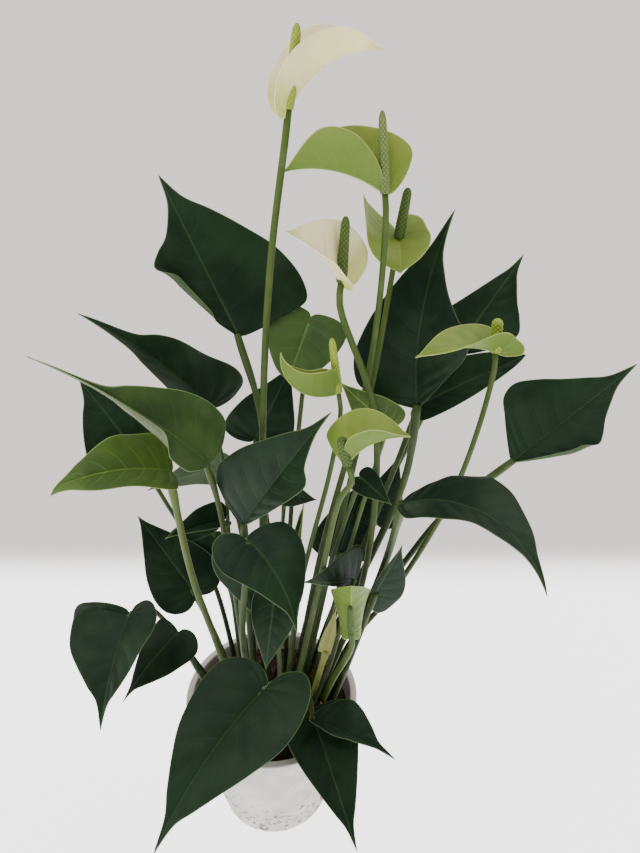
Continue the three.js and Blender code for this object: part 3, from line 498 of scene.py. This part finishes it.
# leaves: one dictionary each. A pair of values is for the left and the right half of the blade, and one
# value is for both. A leaf without a look is dark green. Its edge is what the margin does: how it rolls
# (from and to a place along the outline of the left -1 or right 1 half, the angle, and the share of the
# half where it begins), and its ripples.
leaves = [
    dict(name="leaf_01", foot=[-7, 13], via=[[-3, 17, 220], [-1, 20, 335]], radii=[2.5, 1.9],
         base=[-13, 25, 388], tip=[-56, 45, 478], face=[0.17, -0.95, 0.25], width=[27, 50],
         lobe=[0.02, 0.03], swept=[0.48, 0.02], bend=0.3, fold=[0.3, 0], kite=[0.5, 0], full=[0, 0.3],
         drip=0.08, wave=1, edge=dict(roll={-1: (0.1, 0.55, 2.6, 0.55)}, flutter=0.9)),
    dict(name="leaf_02", foot=[-15, 22], via=[[-17, 26, 220], [-30, 33, 300]], radii=[2.1, 1.5],
         base=[-37, 42, 332], tip=[-108, 25, 402], face=[0.4, -0.3, 0.85], width=[30, 31], lobe=[0.03, 0.06],
         swept=[-0.02, -0.1], bend=0.45, fold=[0.3, 0.5], kite=[0, 0.2], full=[1, 0.9], drip=0.28, wave=2,
         edge=dict(flutter=1.2, flutters=17)),
    dict(name="leaf_03", look="leaf_mid", foot=[-17, 3], via=[[-22, 0, 200], [-29, -4, 290]],
         radii=[2.3, 1.7], base=[-33, -6, 317], tip=[-125, -16, 391], face=[0.4, -0.45, 0.8], width=[24, 31],
         lobe=[0.03, 0.05], swept=[0.15, 0.05], bend=0.6, fold=[0.4, 0.3], full=[0.6, 0.2], drip=0.3,
         wave=0.5, ease=-1, edge=dict(roll={-1: (0.3, 1.1, 2.9, 0.5)}, flutter=0.6)),
    dict(name="leaf_04", foot=[-27, 24], via=[[-48, 52, 175], [-80, 60, 245]], radii=[2.1, 1.6],
         base=[-94, 62, 278], tip=[-132, 72, 337], face=[0.4, -0.7, 0.5], width=[33, 30], lobe=0.1, bend=0.4,
         fold=0.1, cup=-0.2, full=0.6, drip=0.1, wave=1),
    dict(name="leaf_05", look="leaf_young", foot=[-24, -3], via=[[-38, -2, 161], [-49, -9, 230]],
         radii=[2.6, 2.2], base=[-54, -15, 316], tip=[-118, -40, 314], face=[0, -0.45, 0.9], width=[19, 24],
         lobe=[0.05, 0.06], swept=[0.05, 0.1], bend=1.2, curl=0.7, fold=0.3, full=[1.4, 0.5], drip=0.12,
         wave=2, edge=dict(flutter=1.0, flutters=20)),
    dict(name="leaf_06", foot=[4, 25], via=[[2, 34, 200]], radii=[2, 1.5], base=[-9, 50, 302],
         tip=[18, 60, 355], face=[0.2, -0.8, 0.5], width=24, lobe=0.08, bend=0.3, fold=0.1, wave=1),
    dict(name="leaf_07", foot=[-10, -8], via=[[-13, -7, 180]], radii=[2.5, 2], base=[-12, -15, 276],
         tip=[43, -30, 364], face=[-0.3, -0.8, 0.5], width=[34, 24], lobe=0.03, swept=[0.12, 0.6], bend=0.3,
         fold=[0.1, 0.6], full=[0.3, 0.2], drip=0.08, wave=1),
    dict(name="leaf_08", foot=[-3, -22], via=[[-13, -42, 200]], radii=[2.4, 1.9], base=[-5, -50, 291],
         tip=[24, -85, 253], face=[0.1, -0.6, 0.8], width=[24, 23], lobe=[0.06, 0.22], swept=[0.12, -0.05],
         bend=0.6, sweep=0.6, fold=0.1, cup=-0.2, kite=[0, 0.3], full=0.3, drip=0.12, wave=1),
    dict(name="leaf_09", foot=[-30, 14], via=[[-42, 22, 140]], radii=[2.4, 1.8], base=[-58, 25, 188],
         tip=[-97, 45, 241], face=[0.3, -0.8, 0.4], width=26, lobe=0.15, bend=0.2, fold=0.1, cup=-0.2,
         wave=1),
    dict(name="leaf_10", foot=[-13, 12], via=[[-28, 30, 200]], radii=[1.9, 1.4], base=[-30, 48, 283],
         tip=[-90, 54, 257], face=[0.1, 0.9, 0.3], width=[13, 20], lobe=0.1, bend=0.3, fold=0.1, wave=1),
    dict(name="leaf_11", foot=[-22, 10], via=[[-27, 16, 180]], radii=[1.7, 1.2], base=[-31, 22, 253],
         tip=[-69, 8, 248], face=[0, -0.4, 0.9], width=14, lobe=0.1, bend=0.5, fold=0.7),
    dict(name="leaf_12", foot=[-34, -1], via=[[-58, 4, 140], [-82, 0, 192]], radii=[2, 1.6],
         base=[-88, -30, 215], tip=[-100, -80, 167], face=[-0.3, -0.5, 0.8], width=[27, 42],
         lobe=[0.15, 0.08], swept=[0, 0.05], bend=0.5, fold=[0.3, 0.1], cup=[0, -0.2], kite=[0.3, 0],
         full=0.3, drip=0.15, wave=1, edge=dict(roll={1: (0.0, 0.4, 1.0, 0.5)})),
    dict(name="leaf_13", foot=[-33, -11], via=[[-52, -9, 140]], radii=[1.9, 1.5], base=[-62, -15, 185],
         tip=[-97, -45, 151], face=[-0.3, -0.5, 0.8], width=[21, 19], lobe=[0.12, 0.03], bend=0.5, cup=-0.2,
         kite=[0, 0.3], full=0.2, drip=0.12, wave=1),
    dict(name="leaf_14", foot=[-2, -32], via=[[-1, -46, 140]], radii=[2.4, 2], base=[0, -60, 180],
         tip=[-66, -120, 104], face=[-0.1, -0.6, 0.8], width=[38, 34], lobe=[0.22, 0.1], swept=[0, 0.06],
         bend=0.3, sweep=-0.3, fold=[0.4, 0.1], cup=[0, -0.2], kite=[0.3, 0], full=[0.3, 0.2], drip=0.12,
         wave=1),
    dict(name="leaf_15", foot=[12, -33], via=[[20, -44, 120]], radii=[2.1, 1.7], base=[31, -41, 134],
         tip=[61, -105, 81], face=[0.1, -0.6, 0.8], width=[29, 22], lobe=0.05, bend=0.4, cup=-0.2,
         kite=[0.5, 0.3], full=0.2, drip=0.1, wave=1),
    dict(name="leaf_16", foot=[23, -27], via=[[30, -32, 137]], radii=[1.9, 1.5], base=[31, -51, 141],
         tip=[88, -62, 115], face=[0.1, -0.3, 0.95], width=[22, 14], lobe=0.06, swept=[0.3, 0.2], bend=0.6,
         fold=[0.1, 0.9], cup=[-0.1, 0], full=[0.6, 0.2], drip=0.18, wave=1),
    dict(name="leaf_17", foot=[27, 6], via=[[50, 9, 170], [92, 12, 293]], radii=[2.9, 2.3],
         base=[97, 12, 346], tip=[114, 35, 461], face=[-0.2, -0.9, 0.3], width=[38, 31], lobe=0.02,
         swept=[0.15, 0.3], bend=0.3, sweep=0.5, fold=[0.2, 0.3], kite=[0.4, 1.15], full=[0.6, 0], drip=0.14,
         wave=2, edge=dict(flutter=1.0, flutters=16)),
    dict(name="leaf_18", foot=[28, 27], via=[[60, 42, 200]], radii=[2.4, 1.8], base=[125, 50, 367],
         tip=[164, 60, 429], face=[-0.2, -0.9, 0.3], width=[24, 26], lobe=0.05, swept=[0.05, 0.35], bend=0.3,
         fold=0.1, cup=-0.1, kite=[1, 0.5], full=[0, 0.4], drip=0.08, wave=1),
    dict(name="leaf_19", foot=[41, 9], via=[[54, 12, 150], [92, 11, 219], [122, 10, 270]], radii=[2.4, 2],
         base=[160, 10, 308], tip=[226, 10, 376], face=[-0.3, -0.8, 0.5], width=[38, 27], lobe=0.02,
         swept=[0.26, 0.4], bend=-0.2, fold=0.3, kite=[0.4, 0.5], full=0.4, drip=0.1, wave=2,
         edge=dict(roll={1: (-0.1, 0.55, 2.2, 0.6)})),
    dict(name="leaf_20", foot=[40, -8], via=[[58, -8, 160], [80, -2, 233]], radii=[2.8, 2.4],
         base=[83, -40, 309], tip=[155, -95, 289], face=[0.3, -0.2, 0.95], width=[32, 20], lobe=[0.02, 0.03],
         swept=[0.28, 0.1], bend=1.5, sweep=0.8, fold=0.1, full=0.4, drip=0.12, wave=1,
         edge=dict(roll={-1: (-0.1, 0.45, -1.2, 0.55)})),
    dict(name="leaf_21", look="leaf_mid", foot=[9, 15], via=[[16, 24, 250]], radii=[1.9, 1.5],
         base=[31, 35, 396], tip=[17, 20, 360], face=[-0.1, -0.9, 0.3], width=25, lobe=0.1, bend=0.2,
         fold=0.1, full=1.2, wave=2),
    dict(name="leaf_22", foot=[14, -8], via=[[40, -4, 220]], radii=[1.6, 1.2], base=[61, -15, 312],
         tip=[80, -28, 300], face=[0, -0.7, 0.7], width=9, lobe=0.1, bend=0.2),
    dict(name="leaf_23", foot=[23, 19], via=[[48, 21, 180]], radii=[1.8, 1.4], base=[76, 24, 252],
         tip=[90, 27, 304], face=[0, -0.9, 0.4], width=15, lobe=0.1, bend=0.2),
    dict(name="leaf_24", foot=[16, 17], via=[[26, 34, 150]], radii=[1.9, 1.5], base=[51, 28, 221],
         tip=[67, 33, 283], face=[0, -1, 0.2], width=22, lobe=0.1, bend=0.2),
    dict(name="leaf_25", foot=[39, -13], via=[[56, -14, 150]], radii=[2, 1.6], base=[74, -17, 222],
         tip=[89, -19, 264], face=[0.1, -0.9, 0.2], width=[5, 17], lobe=[0.02, 0.4], bend=0.1),
    dict(name="leaf_26", foot=[22, -19], via=[[42, -17, 150]], radii=[1.9, 1.5], base=[59, -17, 234],
         tip=[26, -41, 252], face=[0.55, -0.8, 0.1], width=[4, 24], lobe=0.1, bend=0.4, cup=-0.2),
    dict(name="leaf_27", foot=[-13, -19], via=[[-16, -22, 180]], radii=[1.9, 1.5], base=[-14, -27, 264],
         tip=[-8, -34, 221], face=[0, -0.8, 0.6], width=[16, 18], lobe=0.2, bend=0.4, cup=-0.2),
    dict(name="leaf_28", foot=[5, -21], via=[[9, -30, 165]], radii=[1.9, 1.5], base=[8, -38, 237],
         tip=[2, -55, 192], face=[0, -0.8, 0.6], width=[16, 14], lobe=0.2, bend=0.4, cup=-0.2),
    dict(name="leaf_29", look="leaf_young", foot=[25, 0], via=[[55, -1, 240]], radii=[1.5, 1.2],
         base=[78, -3, 341], tip=[48, -3, 370], face=[0, -1, 0.1], width=14, lobe=0.1, bend=0.2, fold=0.1),
    dict(name="leaf_30", foot=[28, 14], via=[[44, 15, 160], [66, 8, 240]], radii=[2.2, 1.7],
         base=[100, 28, 340], tip=[171, 48, 366], face=[0, -0.8, 0.6], width=[20, 12], lobe=0.1, bend=0.3,
         fold=0.2, full=0.8),
    dict(name="leaf_31", foot=[-22, 30], via=[[-32, 44, 160]], radii=[1.9, 1.4], base=[-43, 52, 221],
         tip=[-100, 56, 195], face=[0, -0.9, 0.4], width=17, lobe=0.1, bend=1, cup=-0.3),
    dict(name="leaf_32", foot=[4, 10], via=[[6, 12, 180]], radii=[1.5, 1.2], base=[13, 12, 283],
         tip=[35, 12, 277], face=[0, -1, 0.2], width=[8, 9], lobe=0.2, bend=0.2, fold=0.1),
    dict(name="leaf_33", look="leaf_young", foot=[12, 2], via=[[18, 4, 170]], radii=[1.8, 1.5],
         base=[23, 5, 249], tip=[26, 6, 279], face=[-0.5, -0.8, 0.2], width=6, lobe=0.05, fold=0.9, cup=0.8),
    dict(name="sheath", look="sheath", foot=[26, -8], via=[[34, -10, 130]], radii=[2.4, 2.1],
         base=[41, -11, 163], tip=[48, -12, 205], face=[-0.2, -0.9, 0.2], width=6, lobe=0.02, fold=0.3),
]
stemStart = 90  # height at which a stem starts, in its hole in the soil


def leafRoute(leaf):
    at, _ = midribOf(leaf)
    return [leaf["foot"] + [stemStart]] + leaf["via"] + [list(at(np.array(0.015))[0])]


def jointSwell(t, turn):
    # the leaf stalk thickens in its last bit below the blade, and a little at its foot
    joint = smoothStep(0.86, 0.93, t) * (1 - 0.6 * smoothStep(0.97, 1.0, t))
    return 1 + 0.28 * joint + 0.15 * (1 - smoothStep(0, 0.08, t))


# a blade longer than largeFrom has the large values
leafForm = dict(thickness=0.7, largeFrom=60, veins=9, toneSpread=0.35, stalkSides=12, stalkSteps=44,
                large=dict(rows=76, columns=20, rib=0.8, flutter=0.5, puff=0.45),
                small=dict(rows=44, columns=12, rib=0.5, flutter=0.3, puff=0.25))


def makeLeaf(leaf):
    size = np.linalg.norm(np.array(leaf["tip"], float) - np.array(leaf["base"], float))
    look = leaf.get("look", "leaf_dark")
    form = dict(leafForm, **leafForm["large" if size > leafForm["largeFrom"] else "small"])
    form.update(flutters=20 + 8 * random.random(), phase=3 * random.random())
    form.update(leaf.get("edge", {}))
    blade = closedBlade(leaf, leafOutline, form)
    blade[2]["tone"] = np.full(len(blade[0]), form["toneSpread"] * random.random())
    stalk = tubeAlong(leafRoute(leaf), leaf["radii"], form["stalkSides"], form["stalkSteps"], jointSwell)
    finePiece(leaf["name"], look, leafSkins[look], *joined([blade, stalk]))


for leaf in leaves:
    makeLeaf(leaf)
print("leaves made:", len(leaves))


# old papery sheaths round the feet of the stalks

crown = dict(scales=44, height=(13, 30), width=(3.5, 6), bottom=92, away=1.0, lean=0.22,
             form=dict(rows=20, columns=6, thickness=0.5, rib=0.2, flutter=0.5, flutters=19.0, veins=5,
                       puff=0.1))
sheathSkin = leafMaterial("dry papery sheath", dict(
    upper="#3a2d1c", upperLight="#66512f", under="#4a3b25", underLight="#6f5b3a", vein="#9a8558",
    margin="#a18c60", gloss=0.1, roughness=0.8, veinShare=0.4, ribShare=0.2, marginShare=0.3))
scales = []
for i in range(crown["scales"]):
    leaf = leaves[int(random.integers(len(leaves)))]
    foot = np.array(leaf["foot"] + [crown["bottom"]], float)
    turn = random.uniform(0, 2 * math.pi)
    out = np.array([math.cos(turn), math.sin(turn), 0])
    high, wide = random.uniform(*crown["height"]), random.uniform(*crown["width"])
    base = foot + out * (leaf["radii"][0] + crown["away"])
    scale = dict(base=base, tip=base + out * high * crown["lean"] + [0, 0, high + 5], face=-out,
                 width=wide, lobe=0.05, fold=0.5, cup=1.1, bend=-0.5, full=0.8)
    scales.append(closedBlade(scale, leafOutline, dict(crown["form"], phase=turn)))
for scale in scales:
    scale[2]["tone"] = np.full(len(scale[0]), random.random())
crownPiece = newPiece("crown_sheaths", [sheathSkin], *joined(scales)[:3])
print("old sheaths made:", len(scales))


# blooms

def spatheMaterial(name, finish):
    # thick waxy bract: pale and slightly see-through, greener towards its base, margin and tip
    material, tree, shader, place = newMaterial(name, {
        "Roughness": 0.45, "IOR": 1.42, "Specular IOR Level": finish["gloss"],
        "Subsurface Weight": finish["depth"], "Subsurface Scale": 4 * mm})
    shader.inputs["Subsurface Radius"].default_value = (1.0, 0.9, 0.5)
    at, lines = bladeLines(tree, finish, 0.8)
    patches = addNode(tree, "TexNoise", {"Vector": place, "Scale": 1 / (12 * mm), "Detail": 4.0})
    patches = addNode(tree, "MapRange", {0: patches, 1: 0.35, 2: 0.75, 3: 0.0, 4: finish["mottle"]}, **smooth)
    tip = addNode(tree, "MapRange", {0: at["along"], 1: finish["tipFrom"], 2: 1.0, 3: 0.0,
                                     4: finish["tipShare"]}, **smooth)
    base = addNode(tree, "MapRange", {0: at["along"], 1: 0.0, 2: 0.22, 3: finish["baseShare"],
                                      4: 0.0}, **smooth)
    skin = addNode(tree, "TexNoise", {"Vector": place, "Scale": 1 / (2.4 * mm), "Detail": 2.0})
    height = addNode(tree, "Math", {0: addNode(tree, "Math", {0: skin, 1: 0.4}, **times), 1: at["vein"]},
                     operation="ADD")
    inner = addNode(tree, "Mix", {0: at["under"], 6: finish["inner"], 7: finish["outer"]}, 2, **blend)
    greener = [(share, finish["green"]) for share in (patches, tip, base)]
    finishSurface(tree, shader, [inner] + greener + lines, height, 0.2, 0.6)
    return material


def spadixMaterial(name, low, high, pit):
    # closed florets: dry velvety knobs, darker in the gaps between them
    material, tree, shader, place = newMaterial(name, {
        "Roughness": 0.62, "IOR": 1.4, "Specular IOR Level": 0.35})
    along = addNode(tree, "Attribute", (), "Fac", attribute_name="along")
    knob = addNode(tree, "Attribute", (), "Fac", attribute_name="knob")
    gaps = addNode(tree, "MapRange", {0: knob, 1: 0.15, 2: 0.7, 3: 1.0, 4: 0.0}, **smooth)
    speck = addNode(tree, "TexNoise", {"Vector": place, "Scale": 1 / (1.2 * mm), "Detail": 2.0})
    specks = addNode(tree, "MapRange", {0: speck, 1: 0.4, 2: 0.7, 3: 0.0, 4: 0.3}, **smooth)
    climb = addNode(tree, "Mix", {0: along, 6: low, 7: high}, 2, **blend)
    finishSurface(tree, shader, [climb, (gaps, pit), (specks, high)], speck, 0.3, 0.3)
    return material


bracts = {
    "spathe_white": spatheMaterial("white waxy bract", dict(
        inner="#eee3b6", outer="#dfd99f", green="#96a83c", vein="#d3d09a", margin="#f4efdc", depth=0.2,
        gloss=0.25, mottle=0.15, tipFrom=0.75, tipShare=0.75, baseShare=0.65, veinShare=0.25,
        ribShare=0.45, marginShare=0.5)),
    "spathe_green": spatheMaterial("green waxy bract", dict(
        inner="#738639", outer="#5c722c", green="#4c6a1f", vein="#8ba44c", margin="#b5c274", depth=0.12,
        gloss=0.2, mottle=0.4, tipFrom=0.6, tipShare=0.4, baseShare=0.4, veinShare=0.06, ribShare=0.45,
        marginShare=0.5)),
}
spikes = dict(pale=spadixMaterial("pale floret spike", "#8b9c34", "#9cab3e", "#74882a"),
              green=spadixMaterial("green floret spike", "#455c22", "#55692b", "#2f431b"),
              grey=spadixMaterial("grey-green floret spike", "#66753c", "#78884c", "#4c5c30"))
# the dark low colour of the flower stalk is painted shade of the crown
flowerStalk = stalkMaterial("flower stalk skin", "#1f3010", "#405420")

# blooms: one dictionary each, with pairs as for the leaves. Bract and spike are green where none is named.
blooms = [
    dict(name="bloom_1", look="spathe_white", foot=[-2, 0], via=[[-2, 0, 230], [3, 2, 360], [10, 4, 440]],
         radii=[2.5, 1.9], base=[21, 5, 514], end=[26, 5, 551], spadix=[3.2, 2.2], tip=[70, 20, 540],
         face=[-0.5, -0.1, 0.85], width=[22, 18], lobe=0.2, swept=[0.35, 0.3], bend=1.2, fold=0.8,
         cup=[0.6, 0.8], ease=0.3, spike="pale", relief=0.03),
    dict(name="bloom_2", foot=[15, 11], via=[[36, 7, 230], [66, 0, 380]], radii=[2.2, 1.7],
         base=[70, -3, 475], end=[67, -1, 514], spadix=[3.1, 1.8], tip=[17, 9, 484], face=[0.1, -0.1, 1],
         width=[23, 27], lobe=[0.03, 0.08], swept=[0.4, 0.05], bend=0.9, fold=[1.3, 1], cup=[0.2, 0.3],
         ease=0.2, spike="grey"),
    dict(name="bloom_3", foot=[20, 0], via=[[44, 3, 230], [70, 9, 375]], radii=[2.1, 1.6],
         base=[81, 22, 447], end=[85, 24, 474], spadix=[3.3, 2.4], tip=[81, 4, 432], face=[0.1, -0.5, 0.85],
         width=[18, 38], lobe=0.9, bend=0.6, fold=[0.2, 0], cup=[0.4, 1.7]),
    dict(name="bloom_4", look="spathe_white", foot=[31, -2], via=[[66, -6, 225], [69, -9, 350]],
         radii=[2.3, 1.9], base=[48, -10, 431], end=[50, -8, 465], spadix=[3.3, 2.2], tip=[19, -25, 461],
         face=[0.5, -0.3, 0.7], width=[9, 26], lobe=[0.1, 0.25], bend=0.7, fold=[0.7, 0.4], cup=[0.2, 0.7],
         ease=0.6),
    dict(name="bloom_5", foot=[8, -9], via=[[24, -12, 225], [43, -15, 317]], radii=[1.9, 1.4],
         base=[47, -20, 371], end=[43, -22, 404], spadix=[2.8, 1.8], tip=[16, -30, 399],
         face=[0.5, 0.1, 0.75], width=[19, 15], lobe=0.05, bend=-2, fold=[1.2, 1.1], cup=0.3, ease=0.2,
         spike="pale"),
    dict(name="bloom_6", foot=[11, -16], via=[[36, -26, 235], [48, -38, 311]], radii=[2.2, 1.8],
         base=[52, -45, 339], end=[48, -47, 357], spadix=[3.5, 2.8], tip=[84, -55, 362],
         face=[-0.2, -0.1, 0.95], width=[25, 14], lobe=[0.1, 0.03], swept=[0, 0.45], bend=1.15,
         fold=[0.6, 1.2], cup=[0.3, 0.2], ease=0.3),
    dict(name="bloom_7", foot=[39, 1], via=[[56, 4, 150], [89, 1, 210], [124, -2, 300]], radii=[2.1, 1.6],
         base=[137, -2, 388], end=[136, -2, 408], spadix=[3.8, 3], tip=[87, -32, 397],
         face=[0.1, -0.2, 0.95], width=[15, 16], lobe=[0.35, 0.3], bend=0.7, fold=[1.2, 0.5], cup=[0.3, 0.2],
         ease=1, spike="pale"),
    dict(name="bloom_8", foot=[32, -10], via=[[45, -22, 145]], radii=[2.5, 2.1], base=[57, -36, 206],
         end=[56, -36, 228], spadix=[2.6, 2], tip=[56, -42, 250], face=[0, 0.9, 0.2], width=17, lobe=0.2,
         swept=0.1, bend=0.8, fold=0.4, cup=1.5, full=1, ease=0.9),
]
bloomForm = dict(thickness=0.75, rib=0.7, rows=64, columns=22, veins=9, flutter=0.5, puff=0.35, around=7,
                 florets=2.6, relief=0.12, spikeSides=56, spikeSteps=120, spikeFrom=0.3, stalkSides=14,
                 stalkSteps=56, stalkTo=0.2, neck=12)  # the last neck of the stalk runs straight


def floretHeight(bloom, length):
    around, rise = bloomForm["around"], bloom.get("relief", bloomForm["relief"])
    rings = length / bloomForm["florets"]  # rings of florets on the spike, each one floret tall

    def shape(t, turn):
        swell = 0.8 + 0.2 * np.sin(np.minimum(t * 4, 1) * math.pi / 2)
        nose = np.sqrt(1 - np.minimum(np.maximum(0, (t - 0.86) / 0.145), 1) ** 2 * 0.98)
        return swell * nose * (1 + rise * (knobs(t, turn) - 0.5))

    def knobs(t, turn):
        # rows of florets cross in two spirals
        one = 0.5 + 0.5 * np.cos(around * turn + 2 * math.pi * rings * t)
        two = 0.5 + 0.5 * np.cos(around * turn - 2 * math.pi * rings * t)
        return (one * two) ** 0.6
    return shape, knobs


def makeBloom(bloom):
    name, look = bloom["name"], bloom.get("look", "spathe_green")
    base, end = np.array(bloom["base"], float), np.array(bloom["end"], float)
    axis = unit(end - base)
    form = dict(bloomForm, flutters=14 + 6 * random.random(), phase=3 * random.random())
    finePiece(name + "_spathe", look, [bracts[look]], *closedBlade(bloom, spatheOutline, form))
    shape, knobs = floretHeight(bloom, np.linalg.norm(end - base))
    spine = [base + axis * form["spikeFrom"], (base + end) / 2, end]
    points, faces, values = tubeAlong(spine, bloom["spadix"], form["spikeSides"], form["spikeSteps"], shape)
    values["knob"] = knobs(values["along"], values["turn"])
    finePiece(name + "_spadix", "spadix", [spikes[bloom.get("spike", "green")]], points, faces, values)
    route = [bloom["foot"] + [stemStart]] + bloom["via"]
    route += [list(base - axis * form["neck"]), list(base + axis * form["stalkTo"])]
    stalk = tubeAlong(route, bloom["radii"], form["stalkSides"], form["stalkSteps"])
    finePiece(name + "_stalk", "stalk", [flowerStalk], *stalk)


for bloom in blooms:
    makeBloom(bloom)
print("blooms made:", len(blooms))


# pot: slip-cast clay with a brushed coat of white limewash, worn through in small chips

pot = dict(height=110, rimRadius=65, footRadius=42, wall=5.5, floor=7, rounding=2.4, segments=160,
           wash="#cfccc6", washDark="#bbb7b0", chip="#4d4a48", band="#bdbab5", stain="#6b625a")
soil = dict(top=97, rings=90, segments=200, lump=1.6, waves=26, gap=0.3, dark="#1e1611", peat="#3a2c23",
            bark="#5e4936")


def turned(profile, segments):
    # a closed profile turned round the pot's axis
    turn = np.linspace(0, 2 * math.pi, segments, endpoint=False)
    points, faces, rows = [], [], []
    for r, z in profile:
        if r < 1e-6:
            rows.append([len(points)] * segments)
            points.append((0, 0, z))
        else:
            rows.append(list(range(len(points), len(points) + segments)))
            points += [(r * math.cos(a), r * math.sin(a), z) for a in turn]
    for low, high in zip(rows, rows[1:]):
        for j in range(segments):
            k = (j + 1) % segments
            addFace(faces, [low[j], low[k], high[k], high[j]])
    return np.array(points, float), faces


def potMaterial():
    material, tree, shader, place = newMaterial("limewashed clay", {"Roughness": 0.82, "IOR": 1.5})
    height = addNode(tree, "SeparateXYZ", {0: place}, "Z")
    clouds = addNode(tree, "TexNoise", {"Vector": place, "Scale": 1 / (22 * mm), "Detail": 5.0})
    clouds = addNode(tree, "MapRange", {0: clouds, 1: 0.3, 2: 0.7}, **smooth)
    band = addNode(tree, "MapRange", {0: height, 1: 100 * mm, 2: 102 * mm, 3: 0.0, 4: 0.6}, **smooth)
    # small chips, 1 to 3 mm, thick on the lower half
    chips = addNode(tree, "TexNoise", {"Vector": place, "Scale": 1 / (5 * mm), "Detail": 6.0,
                                       "Roughness": 0.65})
    limit = addNode(tree, "MapRange", {0: height, 1: 12 * mm, 2: 80 * mm, 3: 0.56, 4: 0.66}, **smooth)
    chips = addNode(tree, "Math", {0: chips, 1: limit}, operation="SUBTRACT")
    chips = addNode(tree, "MapRange", {0: chips, 1: 0.0, 2: 0.012}, **smooth)
    dark = addNode(tree, "Math", {0: chips, 1: 0.85}, **times)
    # the inside above the soil is stained brown
    flat = addNode(tree, "VectorMath", {0: place, 1: (1, 1, 0)}, **times)
    radius = addNode(tree, "VectorMath", {0: flat}, "Value", operation="LENGTH")
    inside = addNode(tree, "MapRange", {0: radius, 1: 60.4 * mm, 2: 59.4 * mm, 3: 0.0, 4: 1.0}, **smooth)
    upper = addNode(tree, "Math", {0: height, 1: 92 * mm}, operation="GREATER_THAN")
    stain = addNode(tree, "Math", {0: inside, 1: upper}, **times)
    patchy = addNode(tree, "MapRange", {0: clouds, 3: 0.45, 4: 0.9})
    stain = addNode(tree, "Math", {0: stain, 1: patchy}, **times)
    brush = addNode(tree, "TexNoise", {"Vector": place, "Scale": 1 / (2 * mm), "Detail": 4.0})
    relief = addNode(tree, "Math", {0: brush, 1: chips}, operation="SUBTRACT")
    finishSurface(tree, shader, [pot["wash"], (clouds, pot["washDark"]), (band, pot["band"]),
                                 (stain, pot["stain"]), (dark, pot["chip"])], relief, 0.35, 0.5)
    return material


def innerRadius(z):
    return pot["footRadius"] - pot["wall"] + (pot["rimRadius"] - pot["footRadius"]) * z / pot["height"]


def rounded(corners, radius, steps=5):
    # each corner (r, z, share of the radius) becomes an arc
    out = []
    for i, (r, z, share) in enumerate(corners):
        here = np.array((r, z), float)
        if share == 0:
            out.append(tuple(here))
            continue
        before, after = np.array(corners[i - 1][:2], float), np.array(corners[i + 1][:2], float)
        a, b = here + unit(before - here) * radius * share, here + unit(after - here) * radius * share
        for t in np.linspace(0, 1, steps):
            out.append(tuple((1 - t) ** 2 * a + 2 * t * (1 - t) * here + t * t * b))
    return out


corners = [(0, 0, 0), (pot["footRadius"], 0, 1), (pot["rimRadius"], pot["height"], 0.7),
           (pot["rimRadius"] - pot["wall"], pot["height"], 0.7), (innerRadius(pot["floor"]), pot["floor"], 1),
           (0, pot["floor"], 0)]
profile = rounded(corners, pot["rounding"])
outline = []
for (r0, z0), (r1, z1) in zip(profile, profile[1:]):
    steps = max(1, int(math.hypot(r1 - r0, z1 - z0) / 4))
    outline += [(r0 + (r1 - r0) * k / steps, z0 + (z1 - z0) * k / steps) for k in range(steps)]
finePiece("pot", "pot", [potMaterial()], *turned(outline + [profile[-1]], pot["segments"]))
print("pot made")


# soil: dry peat and bark crumbs, heaped a little round the stems

def soilMaterial():
    material, tree, shader, place = newMaterial("peat and bark soil", {
        "Roughness": 0.95, "Specular IOR Level": 0.2})
    peat = addNode(tree, "TexNoise", {"Vector": place, "Scale": 1 / (5 * mm), "Detail": 5.0,
                                      "Roughness": 0.7})
    peat = addNode(tree, "MapRange", {0: peat, 1: 0.35, 2: 0.65}, **smooth)
    bark = addNode(tree, "TexNoise", {"Vector": place, "Scale": 1 / (1.5 * mm), "Detail": 4.0})
    bits = addNode(tree, "MapRange", {0: bark, 1: 0.6, 2: 0.7}, **smooth)
    finishSurface(tree, shader, [soil["dark"], (peat, soil["peat"]), (bits, soil["bark"])], bark, 0.8, 1.4)
    return material


def soilHeight(x, y):
    mound = 3 * np.exp(-((x - 6) ** 2 + y ** 2) / 700)
    return (soil["top"] + mound + 0.9 * np.sin(0.23 * x + 1) * np.cos(0.2 * y)
            + 0.6 * np.sin(0.41 * x - 0.35 * y))


edge = innerRadius(soil["top"]) - soil["gap"]
radii = np.linspace(0, edge, soil["rings"])[::-1]
bottom = pot["floor"] + soil["gap"]
profile = [(0, bottom), (innerRadius(pot["floor"]) - 2 * soil["gap"], bottom)]
profile += [(r, soil["top"]) for r in radii]
points, faces = turned(profile, soil["segments"])
top = points[:, 2] > soil["top"] - 1
x, y = points[:, 0], points[:, 1]
lumps = sum(np.sin(x * f * math.cos(a) + y * f * math.sin(a) + p) / f for f, a, p in
            zip(*(random.uniform(low, high, soil["waves"]) for low, high in (
                (0.5, 2.2), (0, 6.3), (0, 6.3)))))
lumps = np.clip(lumps * 0.45, -soil["lump"], soil["lump"])
points[:, 2] = np.where(top, soilHeight(x, y) + lumps, points[:, 2])
finePiece("soil", "soil", [soilMaterial()], points, faces)
print("soil made")
